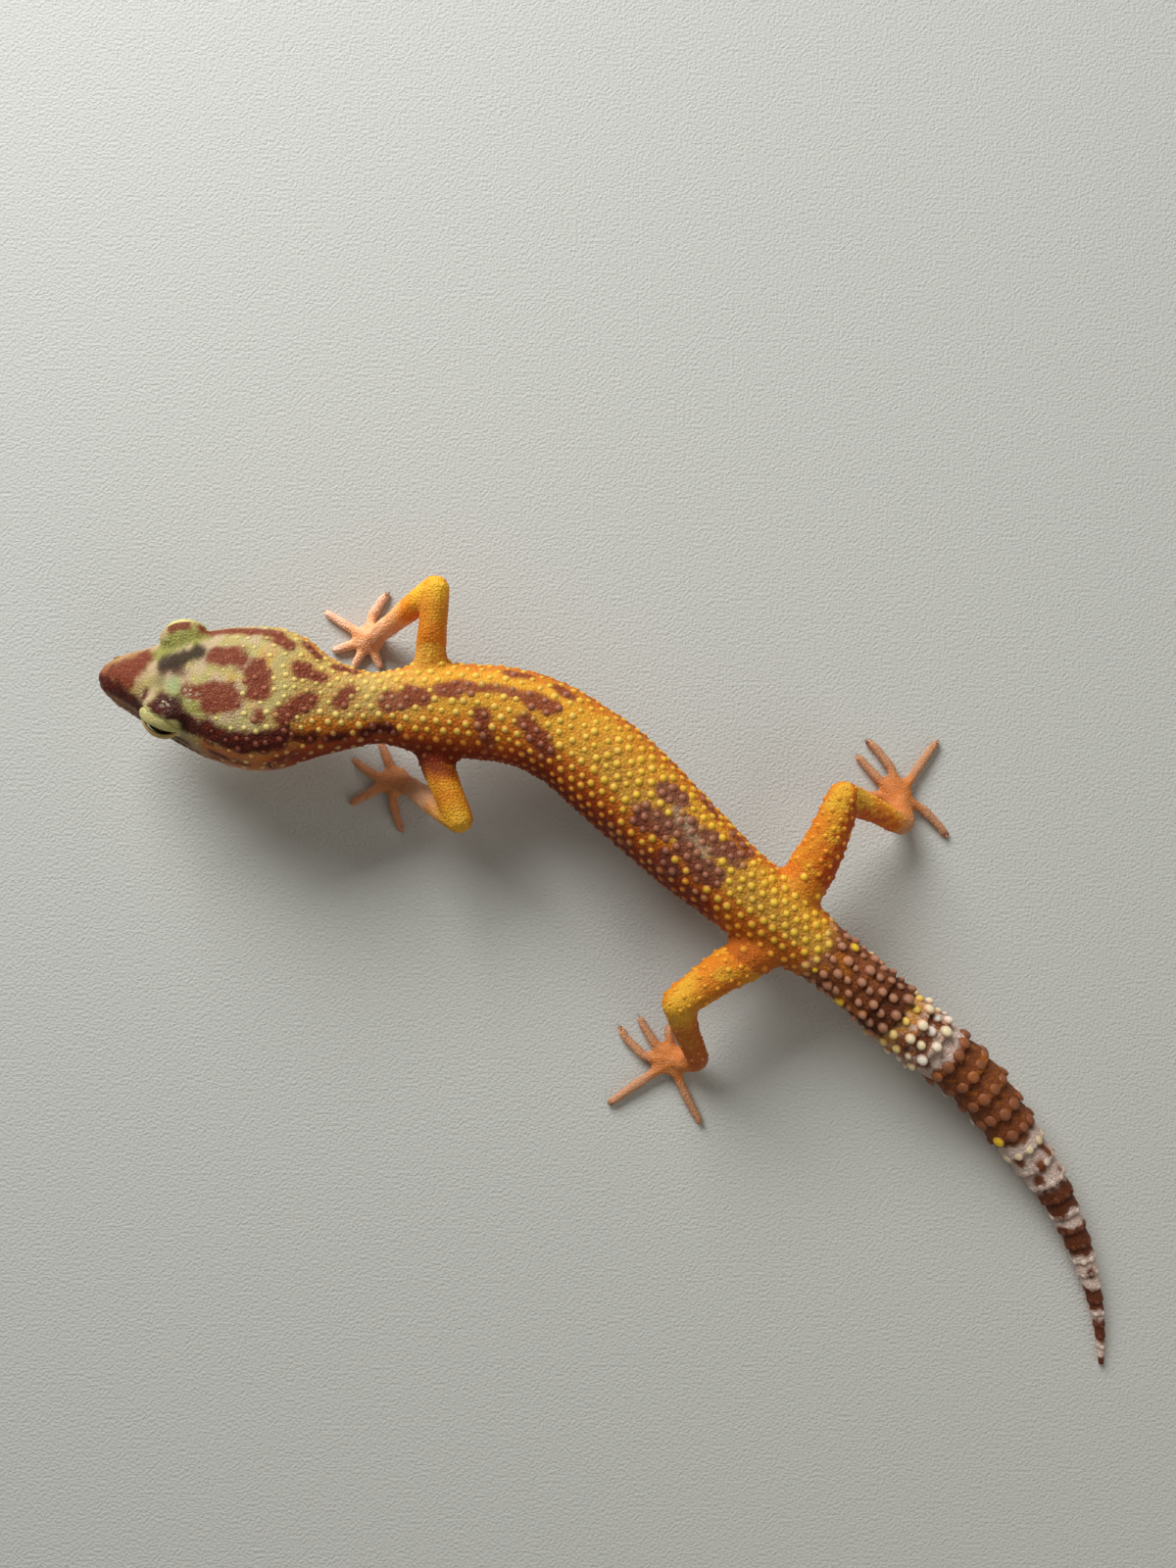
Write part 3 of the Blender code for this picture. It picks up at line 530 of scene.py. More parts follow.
TRUNK_MARKS = [
    ([(35.3, -6), (39.2, 2)], 1.25), ([(37.6, 10)], 1), ([(41.3, 10), (42.8, 14)], 0.95),
    ([(42, 15), (44.6, 19)], 0.95), ([(44.6, 19), (48, 21), (52, 20)], 0.62),
    ([(51.6, 18), (53.4, 20)], 1.1), ([(46.1, -12), (46.6, -20)], 1), ([(46.6, -32), (47.2, -44)], 0.9),
    ([(51.2, -9), (53, -16), (55, -25)], 1.25), ([(53, -44)], 0.7), ([(48.6, 50), (50.2, 52)], 0.75),
    ([(53.2, 50), (54.6, 48)], 0.8), ([(73.5, 62), (75.5, 58)], 0.7), ([(79, 58), (81.5, 52)], 0.9),
    ([(67, -52), (70, -54)], 0.8), ([(73, -50), (76, -52)], 0.9), ([(79, -46), (80.5, -44)], 0.8),
]
LUMBAR_MARKS = [
    ([(69.2, 27), (71.2, 32)], 1.35), ([(69.2, -12), (72.4, 0)], 1.45),
    ([(72.7, 12), (76.8, 20), (80.4, 31)], 1.35), ([(75, -2), (77, -9), (80, -9)], 1.55),
    ([(74.5, -30), (76.5, -36)], 0.9),
]
# Coloured patches of the head: stroke, half width, colour and strength.
FACE_PATCHES = [
    ([(7.4, 19), (9.3, 27), (11.3, 33), (12.8, 39)], 0.85, "green", 0.9),
    ([(9.6, 1), (11.2, -1)], 0.95, "lavender", 0.9), ([(8.9, -18)], 0.9, "grey", 0.8),
    # the first patch on the next line is a painted highlight: the pale sheen on the crown beside the left eye
    ([(10.6, -17), (11.8, -24)], 0.8, "cyan", 0.85), ([(11.8, -29), (14, -34)], 0.8, "green", 0.8),
    ([(9.5, 6), (10.9, 11), (12.3, 17)], 1.15, "slate", 0.97),
    ([(15.4, -64), (19, -64), (22, -66)], 0.6, "orange", 0.55),
]
BAND_DARK = [
    ([(111.2, 43), (113, 38)], 0.85), ([(112.1, -14), (112.6, 4)], 0.8),
    ([(110.2, -30), (110.9, -42)], 0.85), ([(113.8, -34), (114.5, -44)], 0.85), ([(114.2, 52)], 0.6),
    ([(132.8, 37), (134.6, 39)], 0.62), ([(135.1, -1)], 0.95), ([(136.6, -33)], 0.75),
    ([(133.2, -46)], 0.75), ([(151.2, 0)], 0.8), ([(137.2, 46)], 0.5),
]
TAIL_ORANGE = [
    ([(100.9, -54), (104.6, -52)], 0.7), ([(97.6, 8), (99.4, 4)], 0.8), ([(97.2, -24)], 0.6),
    ([(102.3, 20)], 0.4), ([(120.6, 60), (120.4, 2)], 0.34),
    ([(123.9, 52), (123.7, 12), (123.9, -20)], 0.42), ([(127, -30)], 0.4),
]
TAIL_BANDS = [  # (start, end) stations of the dark bands
    (95.6, 108.4), (116.3, 130.9), (138.8, 142.6), (144.6, 148.7), (153.4, 156.7), (158.2, 161.1),
    (163.1, 170),
]


def stroke_share(points, s, t, marks, soft=0.34, waviness=0.42, seed=5):
    """How far points lie inside the marks, from 0 to 1, with wavy edges."""
    i = row_at(s)
    reach = 0.5 * (WIDE[i] + BACK[i] - LEVEL[i])
    across = np.radians(t) * reach
    wave = ripple(points, 1.9, seed) * waviness + ripple(points, 0.8, seed + 1) * waviness * 0.45
    share = np.zeros(len(points))
    for line, half in marks:
        knots = np.array([(a, math.radians(b)) for a, b in line])
        lateral = knots[:, 1][:, None] * reach
        best = np.full(len(points), 1e9)
        for k in range(max(len(line) - 1, 1)):
            m = min(k + 1, len(line) - 1)
            ax, ay = knots[k, 0], lateral[k]
            bx, by = knots[m, 0], lateral[m]
            dx, dy = bx - ax, by - ay
            length = np.maximum(dx * dx + dy * dy, 1e-6)
            along = np.clip(((s - ax) * dx + (across - ay) * dy) / length, 0, 1)
            best = np.minimum(best, np.hypot(s - ax - along * dx, across - ay - along * dy))
        share = np.maximum(share, ease(soft, -soft, best - half + wave * min(half, 1)))
    return share


def band_share(s, points):
    """1 in the tail's dark bands."""
    edge = s + ripple(points, 2.2, 21) * 0.45 + ripple(points, 0.9, 22) * 0.2
    share = np.zeros(len(points))
    for start, end in TAIL_BANDS:
        soft = 0.35 if start > 100 else 0.8
        share = np.maximum(share, ease(start - soft, start + soft, edge)
                           * ease(end + 0.35, end - 0.35, edge))
    return share


def limb_share(points, limb):
    """Share of the way along a limb, 0 at the body, 0.5 at its bend, 1 in the palm."""
    knots = LIMB_AXES[limb]
    best = np.full(len(points), 1e9)
    share = np.zeros(len(points))
    angle = np.zeros(len(points))
    for k in range(len(knots) - 1):
        step = knots[k + 1] - knots[k]
        t = np.clip((points - knots[k]) @ step / (step @ step), 0, 1)
        off = points - knots[k] - t[:, None] * step
        far = np.linalg.norm(off, axis=1)
        closer = far < best
        best = np.where(closer, far, best)
        share = np.where(closer, LIMB_SHARES[k] + t * (LIMB_SHARES[k + 1] - LIMB_SHARES[k]), share)
        aside = unit(np.cross(step, [0, 0, 1.0]))
        above = unit(np.cross(aside, step))
        angle = np.where(closer, np.arctan2(off @ aside, off @ above), angle)
    return share, angle


# How red each limb is where it leaves the body, on one side of it: partly its own colour, partly painted
# shade, so the four limbs differ.
FLUSH_AND_SHADE = {"fore_right": 0.15, "hind_right": 0.9, "hind_left": 0.3}


def paint(points, labels):
    """Ground colour and tubercle colour at points of the animal."""
    s, _, _, t = anatomy(points)
    n = len(points)
    side = np.abs(t)
    spread = ripple(points, 3.0, 2)
    fine = ripple(points, 1.1, 3)
    speck = ripple(points, 0.55, 4)

    def drawn(marks, **look):
        return stroke_share(points, s, t, marks, **look)

    # trunk and neck: yellow on the back, orange, red and maroon down the flanks. The red starts higher on the
    # left flank, away from the window, and lower on the right flank, as painted shade and painted light; the
    # tubercles of the left front flank also take on the ground colour sooner, as painted shade.
    flank_and_shade = (side + (13 + 11 * ease(48, 58, s)) * ease(0, -20, t) - 19 * ease(0, 30, t)
             + 6 * spread - 11 * ease(42, 34, s))
    rear = ease(54, 64, s)
    hip = 1 - 0.85 * ease(81, 86, s)
    ground = coat(
        plain("yellow", n),
        ("olive", (0.1 + 0.5 * rear) * ease(38, 6, side + 8 * spread) * ease(30, 44, s)),
        ("earth", rear * 0.6 * ease(-0.2, 0.7, speck + 0.3 * fine)),
        ("cream", 0.7 * ease(42, 32, s) * ease(44, 20, flank_and_shade)), ("orange", ease(18, 48, flank_and_shade) * 0.86),
        ("orange", (0.34 - 0.14 * rear) * ease(-0.3, 0.8, fine + 0.4 * spread)),
        ("red", ease(44, 70, flank_and_shade) * 0.88 * hip), ("maroon", ease(62, 88, flank_and_shade) * 0.75 * hip),
        ("belly", ease(102, 120, side + 6 * spread)))
    bump = coat(
        plain("bump_yellow", n),
        ("bump_cream", (0.4 - 0.3 * rear) * ease(60, 20, side) + 0.15 * ease(0, 1, fine)),
        ("bump_limb", ease(44, 66, flank_and_shade) * 0.7),
        (ground, ease(60, 92, flank_and_shade + 16 * ease(54, 48, s) * ease(-20, -40, t)) * 0.78))
    mark = drawn(TRUNK_MARKS, soft=0.5, waviness=0.3)
    pale = ease(0.1, 0.9, spread + 0.4 * speck) * 0.4 + 0.1
    ground = coat(ground, ("blotch", mark * 0.94), ("blotch_pale", mark * pale))
    bump = coat(bump, ("bump_blotch", ease(0.35, 0.75, mark) * (1 - 0.6 * ease(44, 80, flank_and_shade))))
    mark = drawn(LUMBAR_MARKS, soft=0.4, waviness=0.4)
    ground = coat(
        ground,
        ("lumbar", mark * (0.96 - 0.2 * ease(0, 0.9, speck))), ("blotch", mark * 0.4 * ease(6, 30, flank_and_shade)))
    pale = drawn([([(71.5, 18), (74.5, 12), (77.5, 8)], 0.6)], waviness=0.6, seed=17)
    ground = coat(ground, ("shell", 0.5 * pale * (s < 90)))
    bump = coat(bump, ("bump_blotch", ease(0.35, 0.75, mark)))
    dim = (1 - 0.16 * ease(50, 44, s) * ease(30, 0, t))[:, None]
    ground, bump = ground * dim, bump * (0.5 + 0.5 * dim)
    # painted shade: the rear trunk's left flank, away from the window, is made darker, and its tubercles a
    # little less
    dim = (1 - 0.2 * ease(50, 60, s) * ease(-8, -26, t))[:, None]
    ground, bump = ground * dim, bump * (0.4 + 0.6 * dim)
    # head
    head = ease(26.5, 20.0, s + 1.2 * spread)
    face = coat(
        plain("cream", n),
        ("yellow", 0.45 * ease(-0.3, 0.7, spread) * ease(14, 21, s)),
        ("shell", 0.9 * ease(-0.5, 0.5, ripple(points, 2.2, 52)) * ease(24, 18, s)),
        ("orange", 0.5 * ease(50, 80, t + 6 * spread) * ease(12, 16, s)),
        ("cheek", 0.75 * ease(52, 70, -t + 6 * spread) * ease(12, 16, s)),
        ("snout", ease(8.5, 4.0, s) * 0.6), ("nose", ease(2.4, 1.0, s)),
        ("lip", ease(56, 84, side) * ease(17, 10, s) * 0.8),
        ("belly", ease(84, 104, side + 6 * spread) * ease(12, 18, s)),
        ("belly", ease(104, 122, side + 6 * spread)))
    ground = blend(ground, face, head)
    bump = coat(bump, ("bump_cream", np.maximum(head * 0.95, 0.5 * ease(38, 30, s))))
    for line, half, name, share in FACE_PATCHES:
        spot = drawn([(line, half)], soft=0.6, waviness=0.35, seed=31) * (s < 25)
        ground, bump = (coat(c, (name, spot * share)) for c in (ground, bump))
    on_front = s < 40
    mark = drawn(HEAD_MARKS, soft=0.5, waviness=0.3, seed=9) * on_front
    ground = coat(
        ground, ("head_blotch", mark * 0.98),
        ("blotch_pale", mark * (0.06 + 0.3 * ease(0.0, 0.8, speck + 0.3 * fine))))
    bump = coat(bump, ("bump_head", ease(0.35, 0.75, mark)))
    mark = drawn(DARK_MARKS, soft=0.5, waviness=0.3, seed=12) * on_front
    ground = coat(
        ground, ("dark_brown", mark * 0.99), ("head_blotch", mark * 0.6 * ease(0, 0.9, fine)),
        ("dark", mark * ease(15.5, 13, s) * ease(9, 11, s) * 0.5))
    bump = blend(bump, coat(PALETTE["bump_head"], ("dark_brown", 0.35)), ease(0.35, 0.75, mark))
    flecks = (np.exp(-((s - 13.1) / 1.0) ** 2 - ((t + 21) / 9) ** 2)
              + 0.8 * np.exp(-((s - 10.3) / 0.9) ** 2 - ((t + 34) / 5) ** 2))
    ground = coat(ground, ("fleck", flecks * ease(0.35, 0.6, ripple(points, 0.42, 6)) * (s < 25)))
    # lids
    for name in EYES:
        at = in_eye(name, points)
        away = np.linalg.norm(at, axis=1)
        near_eye = ease(LID_REACH, 3.6, away) * (at[:, 1] > 0.2)
        lift = np.degrees(np.arctan2(at[:, 2], at[:, 1])) + 5 * fine
        lid = near_eye * ease(3.0, 2.2, np.abs(at[:, 0]))
        ground = coat(ground, ("lid", lid * ease(50, 42, lift) * ease(-44, -30, lift) * 0.95))
        reach, top = (1.7, 76) if name == "right" else (1.4, 72)
        patch = (ease(44, 50, lift) * ease(top, top - 12, lift)
                 * ease(reach, reach - 0.6, np.abs(at[:, 0])))
        ground = coat(ground, ("head_blotch" if name == "right" else "dark_brown", near_eye * patch * 0.92))
        # painted shade: the skin in the socket round each eyeball is darkened
        inside = ease(2.95, 2.6, away) * (at[:, 1] > -3)
        ground = coat(ground, ("dark", inside * 0.95))
    # tail
    tail = ease(94.6, 96.6, s + 0.8 * spread)
    bands = band_share(s, points)
    early = ease(120, 112, s)
    flesh = coat(
        plain("pale", n),
        ("tail_orange", ease(114.6, 112.4, s) * ease(-0.7, 0.3, fine) * 0.85),
        ("tail", ease(0.1, 0.7, speck) * (0.12 + 0.45 * early)), ("yellow", ease(110.8, 109.0, s) * 0.5))
    brown = coat(
        plain("tail", n),
        ("blotch_pale", ease(106, 97, s) * 0.55 * ease(-0.3, 0.7, spread + 0.3 * speck)),
        ("tail_orange", ease(108, 97, s) * 0.6 * ease(0.3, 0.8, fine)),
        ("tail_dark", ease(102, 107, s) * ease(110, 107, s) * 0.7), ("tail_dark", ease(134, 139, s) * 0.6),
        ("tail_orange", ease(112, 118, s) * ease(134, 126, s) * 0.5 * ease(0.35, 0.9, fine)),
        ("tail_dark", 0.3 * ease(0, 0.8, speck)),
        ("tail_orange", 0.75 * drawn(TAIL_ORANGE, seed=24) * (s > 90)))
    dark = np.maximum(bands, drawn(BAND_DARK, soft=0.45, seed=14) * (s > 108))
    under = ease(80, 100, side + 5 * spread)
    tail_ground = coat(
        flesh,
        (brown, dark * (1 - under)),
        ("tail_dark", 0.4 * dark * ease(62, 84, side) * (1 - under)), ("belly", under * 0.8))
    ground = blend(ground, tail_ground, tail)
    chance = ripple(points, 1.4, 41)
    tail_bump = coat(
        plain("bump_white", n), ("bump_cream", 0.8 * ease(0.15, 0.6, chance) * early),
        ("bump_yellow", ease(112, 109, s) * 0.7),
        ("bump_cream", ease(130, 131, s) * ease(133.5, 132.5, s) * 0.6))
    brown_bump = coat(
        plain("bump_tail", n), ("bump_tail_dark", ease(104, 114, s)),
        (brown, 0.1 + 0.3 * ease(108, 116, s)),
        ("bump_yellow", ease(0.78, 0.86, chance) * (s < 131)),
        (brown, 0.35 * ease(112, 122, s) * (chance < 0.78)))
    tail_bump = coat(
        tail_bump,
        (brown_bump, ease(0.4, 0.7, bands * (1 - under))), (tail_ground, 0.75 * ease(131, 135, s)))
    bump = blend(bump, tail_bump, tail)
    # limbs
    foot = on_parts(labels, FEET)
    for limb in LIMB_AXES:
        own = on_parts(labels, LIMB_PARTS[limb])
        if not own.any():
            continue
        share, angle = limb_share(points, limb)
        hind = limb.startswith("hind")
        flush_side = angle if limb in ("hind_right", "fore_left") else -angle
        leg = coat(
            plain("limb", n),
            ("limb_yellow", (0.75 if hind else 0.5) * ease(-0.4, 0.8, spread)
             * ease(1.9, 0.9, np.abs(angle))),
            ("joint", (0.3 if hind else 0.1) * ease(0, 0.8, fine) + 0.15 * ease(0, 0.8, speck)),
            ("limb_yellow", 0.8 * np.exp(-((share - 0.5) / 0.1) ** 2) * ease(1.6, 0.6, np.abs(angle))),
            ("red", 0.5 * ease(1.3, 2.3, np.abs(angle)) * ease(0.7, 0.5, share)))
        if limb == "fore_left":
            # painted shade: the body's shadow on the root of the left upper arm
            leg = coat(leg, ("shade", ease(0.36, 0.2, share + 0.06 * spread)))
        else:
            # red at the limb's root on one side: partly its colour, partly painted shade
            leg = coat(
                leg,
                ("red_leg", FLUSH_AND_SHADE[limb] * ease(0.86, 0.66, share + 0.08 * spread)
                 * ease(-0.2, 0.7, flush_side + 0.4 * fine)))
        start, end = {"fore_left": (0.5, 0.74), "fore_right": (0.6, 0.9)}.get(limb, (0.76, 0.92))
        leg = coat(leg, ("sole" if hind else "hand", ease(start, end, share + 0.05 * spread)))
        far = np.linalg.norm(points[:, :2] - LIMB_AXES[limb][-1, :2], axis=1)
        leg = coat(
            leg,
            ("palm", (0.5 if hind else 0.4) * foot * ease(3.6, 1.4, far) * ease(-0.6, 0.6, fine)),
            ("toe_hind" if hind else "toe", foot * ease(2.2, 4.5, far) * 0.9),
            ("palm", foot * 0.25 * ease(0.2, 0.8, speck)), ("belly", foot * ease(0.5, 0.1, points[:, 2])))
        if limb == "fore_right":
            # painted light: the right forearm and hand, which face away from the window, are made brighter
            leg = leg * (1 + 0.5 * ease(0.4, 0.55, share))[:, None]
        elif limb == "fore_left":
            leg = coat(leg, ("palm", 0.5 * ease(0.7, 0.9, share)))
        elif limb == "hind_left":
            # painted shade: the left shin, which faces away from the window, is darkened towards the joint
            # colour
            leg = coat(leg, ("joint", 0.7 * ease(0.54, 0.64, share) * ease(0.98, 0.86, share)))
        elif limb == "hind_right":
            leg = leg * (1 + 0.25 * ease(0.5, 0.62, share) * ease(0.86, 0.76, share))[:, None]
        ground = np.where(own[:, None], leg, ground)
        leg_bump = coat(
            plain("bump_limb", n),
            ("bump_yellow", ease(0.55, 0.3, share) * (0.2 if limb == "hind_right" else 0.5)), (leg, 0.25),
            ("hand", ease(0.66, 0.9, share)))
        bump = np.where(own[:, None], leg_bump, bump)
    return ground, bump


# ---- materials
def network(name, *rows):
    """A material from rows of node name, kind and values. Text in an input, as "node.Output", is a link."""
    material = bpy.data.materials.new(name)
    material.use_nodes = True
    tree = material.node_tree
    nodes = {"shader": tree.nodes["Principled BSDF"]}
    for label, kind, values in rows:
        node = nodes[label] = nodes.get(label) or tree.nodes.new("ShaderNode" + kind)
        for key, value in values.items():
            if key == "stops":
                stops = node.color_ramp.elements
                for i, (position, colour) in enumerate(value):
                    stop = stops[i] if i < 2 else stops.new(position)
                    stop.position, stop.color = position, colour
            elif isinstance(key, str) and key not in node.inputs:
                setattr(node, key, value)
            elif isinstance(value, str):
                source, output = value.split(".")
                output = int(output) if output.isdigit() else output
                tree.links.new(nodes[source].outputs[output], node.inputs[key])
            else:
                node.inputs[key].default_value = value
    return material


def maths(operation, *inputs, kind="Math"):
    """Kind and values of a maths node, for a row of network."""
    return kind, {"operation": operation, **dict(enumerate(inputs))}


def skin_material(name, roughness, cell, bump, mottle, shine=0.2):
    """Painted skin: its colour comes with the mesh, and waves, cells and relief come from nodes."""
    return network(
        name,
        ("shader", "", {"Roughness": roughness, "Specular IOR Level": shine, "Subsurface Weight": 0.22,
                        "Subsurface Radius": (1.0, 0.35, 0.18), "Subsurface Scale": 0.0007}),
        ("place", "TexCoord", {}),
        ("paint", "Attribute", {"attribute_name": "Colour"}),
        ("waves", "TexNoise", {"Scale": 1400.0, "Detail": 4.0, "Roughness": 0.6, "Vector": "place.Object"}),
        ("grain", "TexNoise", {"Scale": 5200.0, "Detail": 3.0, "Roughness": 0.6, "Vector": "place.Object"}),
        ("cells", "TexVoronoi", {"Scale": 1.0 / (cell * MM), "feature": "DISTANCE_TO_EDGE",
                                 "Vector": "place.Object"}),
        ("seams", "MapRange", {"From Max": 0.22, "Value": "cells.Distance"}),
        ("shade", "MapRange", {"From Min": 0.3, "From Max": 0.7, "To Min": 1 - mottle, "To Max": 1 + mottle,
                               "Value": "waves.Fac"}),
        ("darker", "MapRange", {"To Min": 1 - mottle, "To Max": 1.0, "Value": "seams.Result"}),
        ("both", *maths("MULTIPLY", "shade.Result", "darker.Result")),
        ("tint", "VectorMath", {"operation": "SCALE", 0: "paint.Color", "Scale": "both.Value"}),
        ("rough", "MapRange", {"To Min": roughness - 0.1, "To Max": roughness + 0.12, "Value": "grain.Fac"}),
        ("height", *maths("MULTIPLY_ADD", "grain.Fac", 0.35, "seams.Result")),
        ("relief", "Bump", {"Strength": 1.0, "Distance": bump * MM, "Height": "height.Value"}),
        ("shader", "", {"Base Color": "tint.Vector", "Roughness": "rough.Result", "Normal": "relief.Normal"}))


SKIN_FINISH = skin_material("gecko_skin", 0.52, 0.34, 0.05, 0.12)
BUMP_FINISH = skin_material("gecko_tubercle", 0.42, 0.3, 0.02, 0.07, shine=0.34)
GRAIN_FINISH = skin_material("gecko_granule", 0.5, 0.3, 0.01, 0.05)


def dress(piece, material, slot, *replaced):
    piece.data.materials.append(material)
    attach(piece, BODY)
    if replaced:
        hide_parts(*replaced)


ground, _ = paint(skin.verts, skin_label)
# painted shade in the mouth line and the ear pits, and a dark line in the tail's whorl grooves that is partly
# their colour and partly painted shade
ground = coat(ground, ("dark", np.clip(0.8 * mouth_line(0.22) + 1.2 * ear_pits(0.5, 9), 0, 0.95)),
              ("dark_brown", (0.25 + 0.3 * ease(112, 120, station)) * groove
               * ease(110, 80, np.abs(turn))))
skin_piece = mesh_object("skin", skin.verts, [skin.quads], ground)
dress(skin_piece, SKIN_FINISH, "back_skin", *FLESH)

# ---- scales: where they grow
DOME = [(1.16, 0.0), (0.90, 0.24), (0.64, 0.64), (0.33, 0.92)]
CONE = [(1.0, 0.0), (0.92, 0.34), (0.72, 0.70), (0.40, 0.94)]
GRAIN = [(1.0, 0.0), (0.62, 0.75)]
UV_PATCH = 0.003  # width of one scale on the OFBake unwrap


def domes(name, roots, normals, backs, size, tall, lean, profile, sides, low, high, uv):
    """Joined domes: size is (across, along) radii, tall the height, lean the shift of the tip backwards."""
    count, rings = len(roots), len(profile)
    backs = unit(backs - normals * (backs * normals).sum(1, keepdims=True))
    asides = np.cross(normals, backs)
    ring = np.arange(sides) * 2 * math.pi / sides
    verts = np.zeros((count, rings * sides + 1, 3))
    share = np.zeros(rings * sides + 1)
    flat = np.zeros((rings * sides + 1, 2))
    for k, (out, rise) in enumerate(profile):
        x = out * np.cos(ring)[None, :, None] * size[1][:, None, None] + (lean * tall * rise)[:, None, None]
        y = out * np.sin(ring)[None, :, None] * size[0][:, None, None]
        z = (rise * tall - (0.12 * tall + 0.03) * (rise == 0))[:, None, None]
        span = slice(k * sides, (k + 1) * sides)
        verts[:, span] = (roots[:, None] + backs[:, None] * x + asides[:, None] * y + normals[:, None] * z)
        share[span] = rise
        flat[span] = out * np.stack([np.cos(ring), np.sin(ring)], 1)
    verts[:, -1] = roots + backs * (lean * tall)[:, None] + normals * tall[:, None]
    share[-1] = 1.0
    caps = [((rings - 1) * sides + j, (rings - 1) * sides + (j + 1) % sides, rings * sides)
            for j in range(sides)]
    start = (np.arange(count) * (rings * sides + 1))[:, None, None]
    quad = (np.array(ring_quads(rings, sides))[None] + start).reshape(-1, 4)
    tri = (np.array(caps)[None] + start).reshape(-1, 3)
    fade = ease(0.05, 0.75, share)[None, :, None]
    colours = (low[:, None] * (1 - fade) + high[:, None] * fade).reshape(-1, 3)
    piece = mesh_object(name, verts.reshape(-1, 3), [quad, tri], colours)
    at = (uv[:, None] + flat[None] * UV_PATCH / 2).reshape(-1, 2)
    layer = piece.data.uv_layers.new(name="OFBake")
    index = np.zeros(len(piece.data.loops), np.int32)
    piece.data.loops.foreach_get("vertex_index", index)
    layer.data.foreach_set("uv", at[index].astype(np.float32).ravel())
    print(name, count, "scales", 2 * len(quad) + len(tri), "triangles")
    return piece


def body_hit(s, t):
    """Skin point and normal on the body at a station and turn, or None where a limb is in the way."""
    i = min(max(round(s / STRIDE), 0), len(STATIONS) - 1)
    tall = (BACK[i] - LEVEL[i]) if abs(t) < 90 else (LEVEL[i] - BELLY[i])
    a = math.radians(t)
    aim = unit(RIGHT[i] * math.sin(a) * WIDE[i] + UP[i] * math.cos(a) * tall)
    start = AXIS[i] + ALONG[i] * (s - STATIONS[i])
    hit = skin_tree.ray_cast(Vector(start), Vector(aim))
    if hit[0] is None or hit[3] > 1.25 * max(WIDE[i], tall) + 0.3:
        return None
    return hit


def around(s):
    """Arc lengths round the body at a station, from -180 to 180 degrees in 36 steps each way."""
    i = min(max(round(s / STRIDE), 0), len(STATIONS) - 1)
    t = np.radians(np.linspace(-180, 180, 73))
    tall = np.where(np.abs(t) < math.pi / 2, BACK[i] - LEVEL[i], LEVEL[i] - BELLY[i])
    x, y = np.sin(t) * WIDE[i], np.cos(t) * tall
    arc = np.concatenate(([0], np.cumsum(np.hypot(np.diff(x), np.diff(y)))))
    return np.degrees(t), arc - arc[36]


def rows_on_body():
    """Trunk tubercles in rows along the body, every other row shifted by half a step."""
    found = []
    pitch, across = 1.64, 1.27
    for j in range(-13, 14):
        for k in range(0, 60):
            s = 24.5 + (k + 0.5 * (j % 2)) * pitch + rng.uniform(-0.24, 0.24)
            if s > 96.8:
                continue
            angles, arc = around(s)
            w = j * across * (0.9 if s < 36 else 1.0) + rng.uniform(-0.16, 0.16)
            if abs(w) > arc[-1]:
                continue
            t = np.interp(w, arc, angles)
            found.append((s, t, (0.45 + 0.05 * ease(56, 66, s)) * rng.uniform(0.78, 1.12)))
    return found


def rows_on_tail():
    """Rings of tubercles at the hind edge of each whorl, and one between on the thick first whorls."""
    found = []
    for k, end in enumerate(WHORL_ENDS[1:], 1):
        length = end - WHORL_ENDS[k - 1]
        rings = [(end - 0.24 * length, 1.0, 0)]
        if end < 115:
            rings.append((end - 0.74 * length, 0.88, 1))
        for s, scale, shift in rings:
            angles, arc = around(s)
            wide = np.interp(s, STATIONS, WIDE)
            gap = (2.15 if end < 107 else 2.45 if end < 115 else 2.1) * min(1, 0.35 + wide / 6)
            count = int(arc[-1] // gap) + 1
            for j in range(-count, count + 1):
                w = (j + 0.5 * ((k + shift) % 2)) * gap + rng.uniform(-0.16, 0.16)
                t = np.interp(w, arc, angles)
                if abs(t) < 98:
                    size = (0.29 if end < 115 else 0.36) * gap * scale * rng.uniform(0.82, 1.12)
                    found.append((s + rng.uniform(-0.15, 0.15), t, size * (1 - 0.3 * ease(129, 136, s))))
    return found


def unwrap_body(s, t):
    """Place on the flat unwrap of a length of the body: stations run across it, turns run up it."""
    u = 0.02 + 0.96 * (s - s.min()) / (s.max() - s.min())
    return np.stack([np.clip(u, 0.004, 0.996), 0.5 + t / 380], 1)


def grow(name, found, profile, sides, height, lean, slot):
    """Tubercles at (station, turn, radius) on the body, dressed. Returns their roots and radii."""
    kept = []
    for s, t, radius in found:
        hit = body_hit(s, t)
        if hit is not None:
            kept.append((*hit[0], *hit[1], s, t, radius))
    a = np.array(kept)
    roots, normals, s, t, radius = a[:, :3], unit(a[:, 3:6]), a[:, 6], a[:, 7], a[:, 8]
    side = np.abs(t)
    radius = radius * (1 - 0.4 * ease(70, 105, side)) * (1 - 0.18 * ease(34, 24, s))
    keep = side < 112 + 5 * np.sin(s)
    roots, normals, s, t, radius = roots[keep], normals[keep], s[keep], t[keep], radius[keep]
    low, high = paint(roots, flesh_labels(roots))
    tall = height * radius * (1 - 0.5 * ease(113, 118, s) - 0.2 * ease(128, 136, s))
    piece = domes(name, roots, normals, ALONG[row_at(s)], np.stack([radius, radius]), tall, lean, profile,
                  sides, low, high * rng.uniform(0.9, 1.08, (len(high), 1)), unwrap_body(s, t))
    dress(piece, BUMP_FINISH, slot)
    return roots, radius


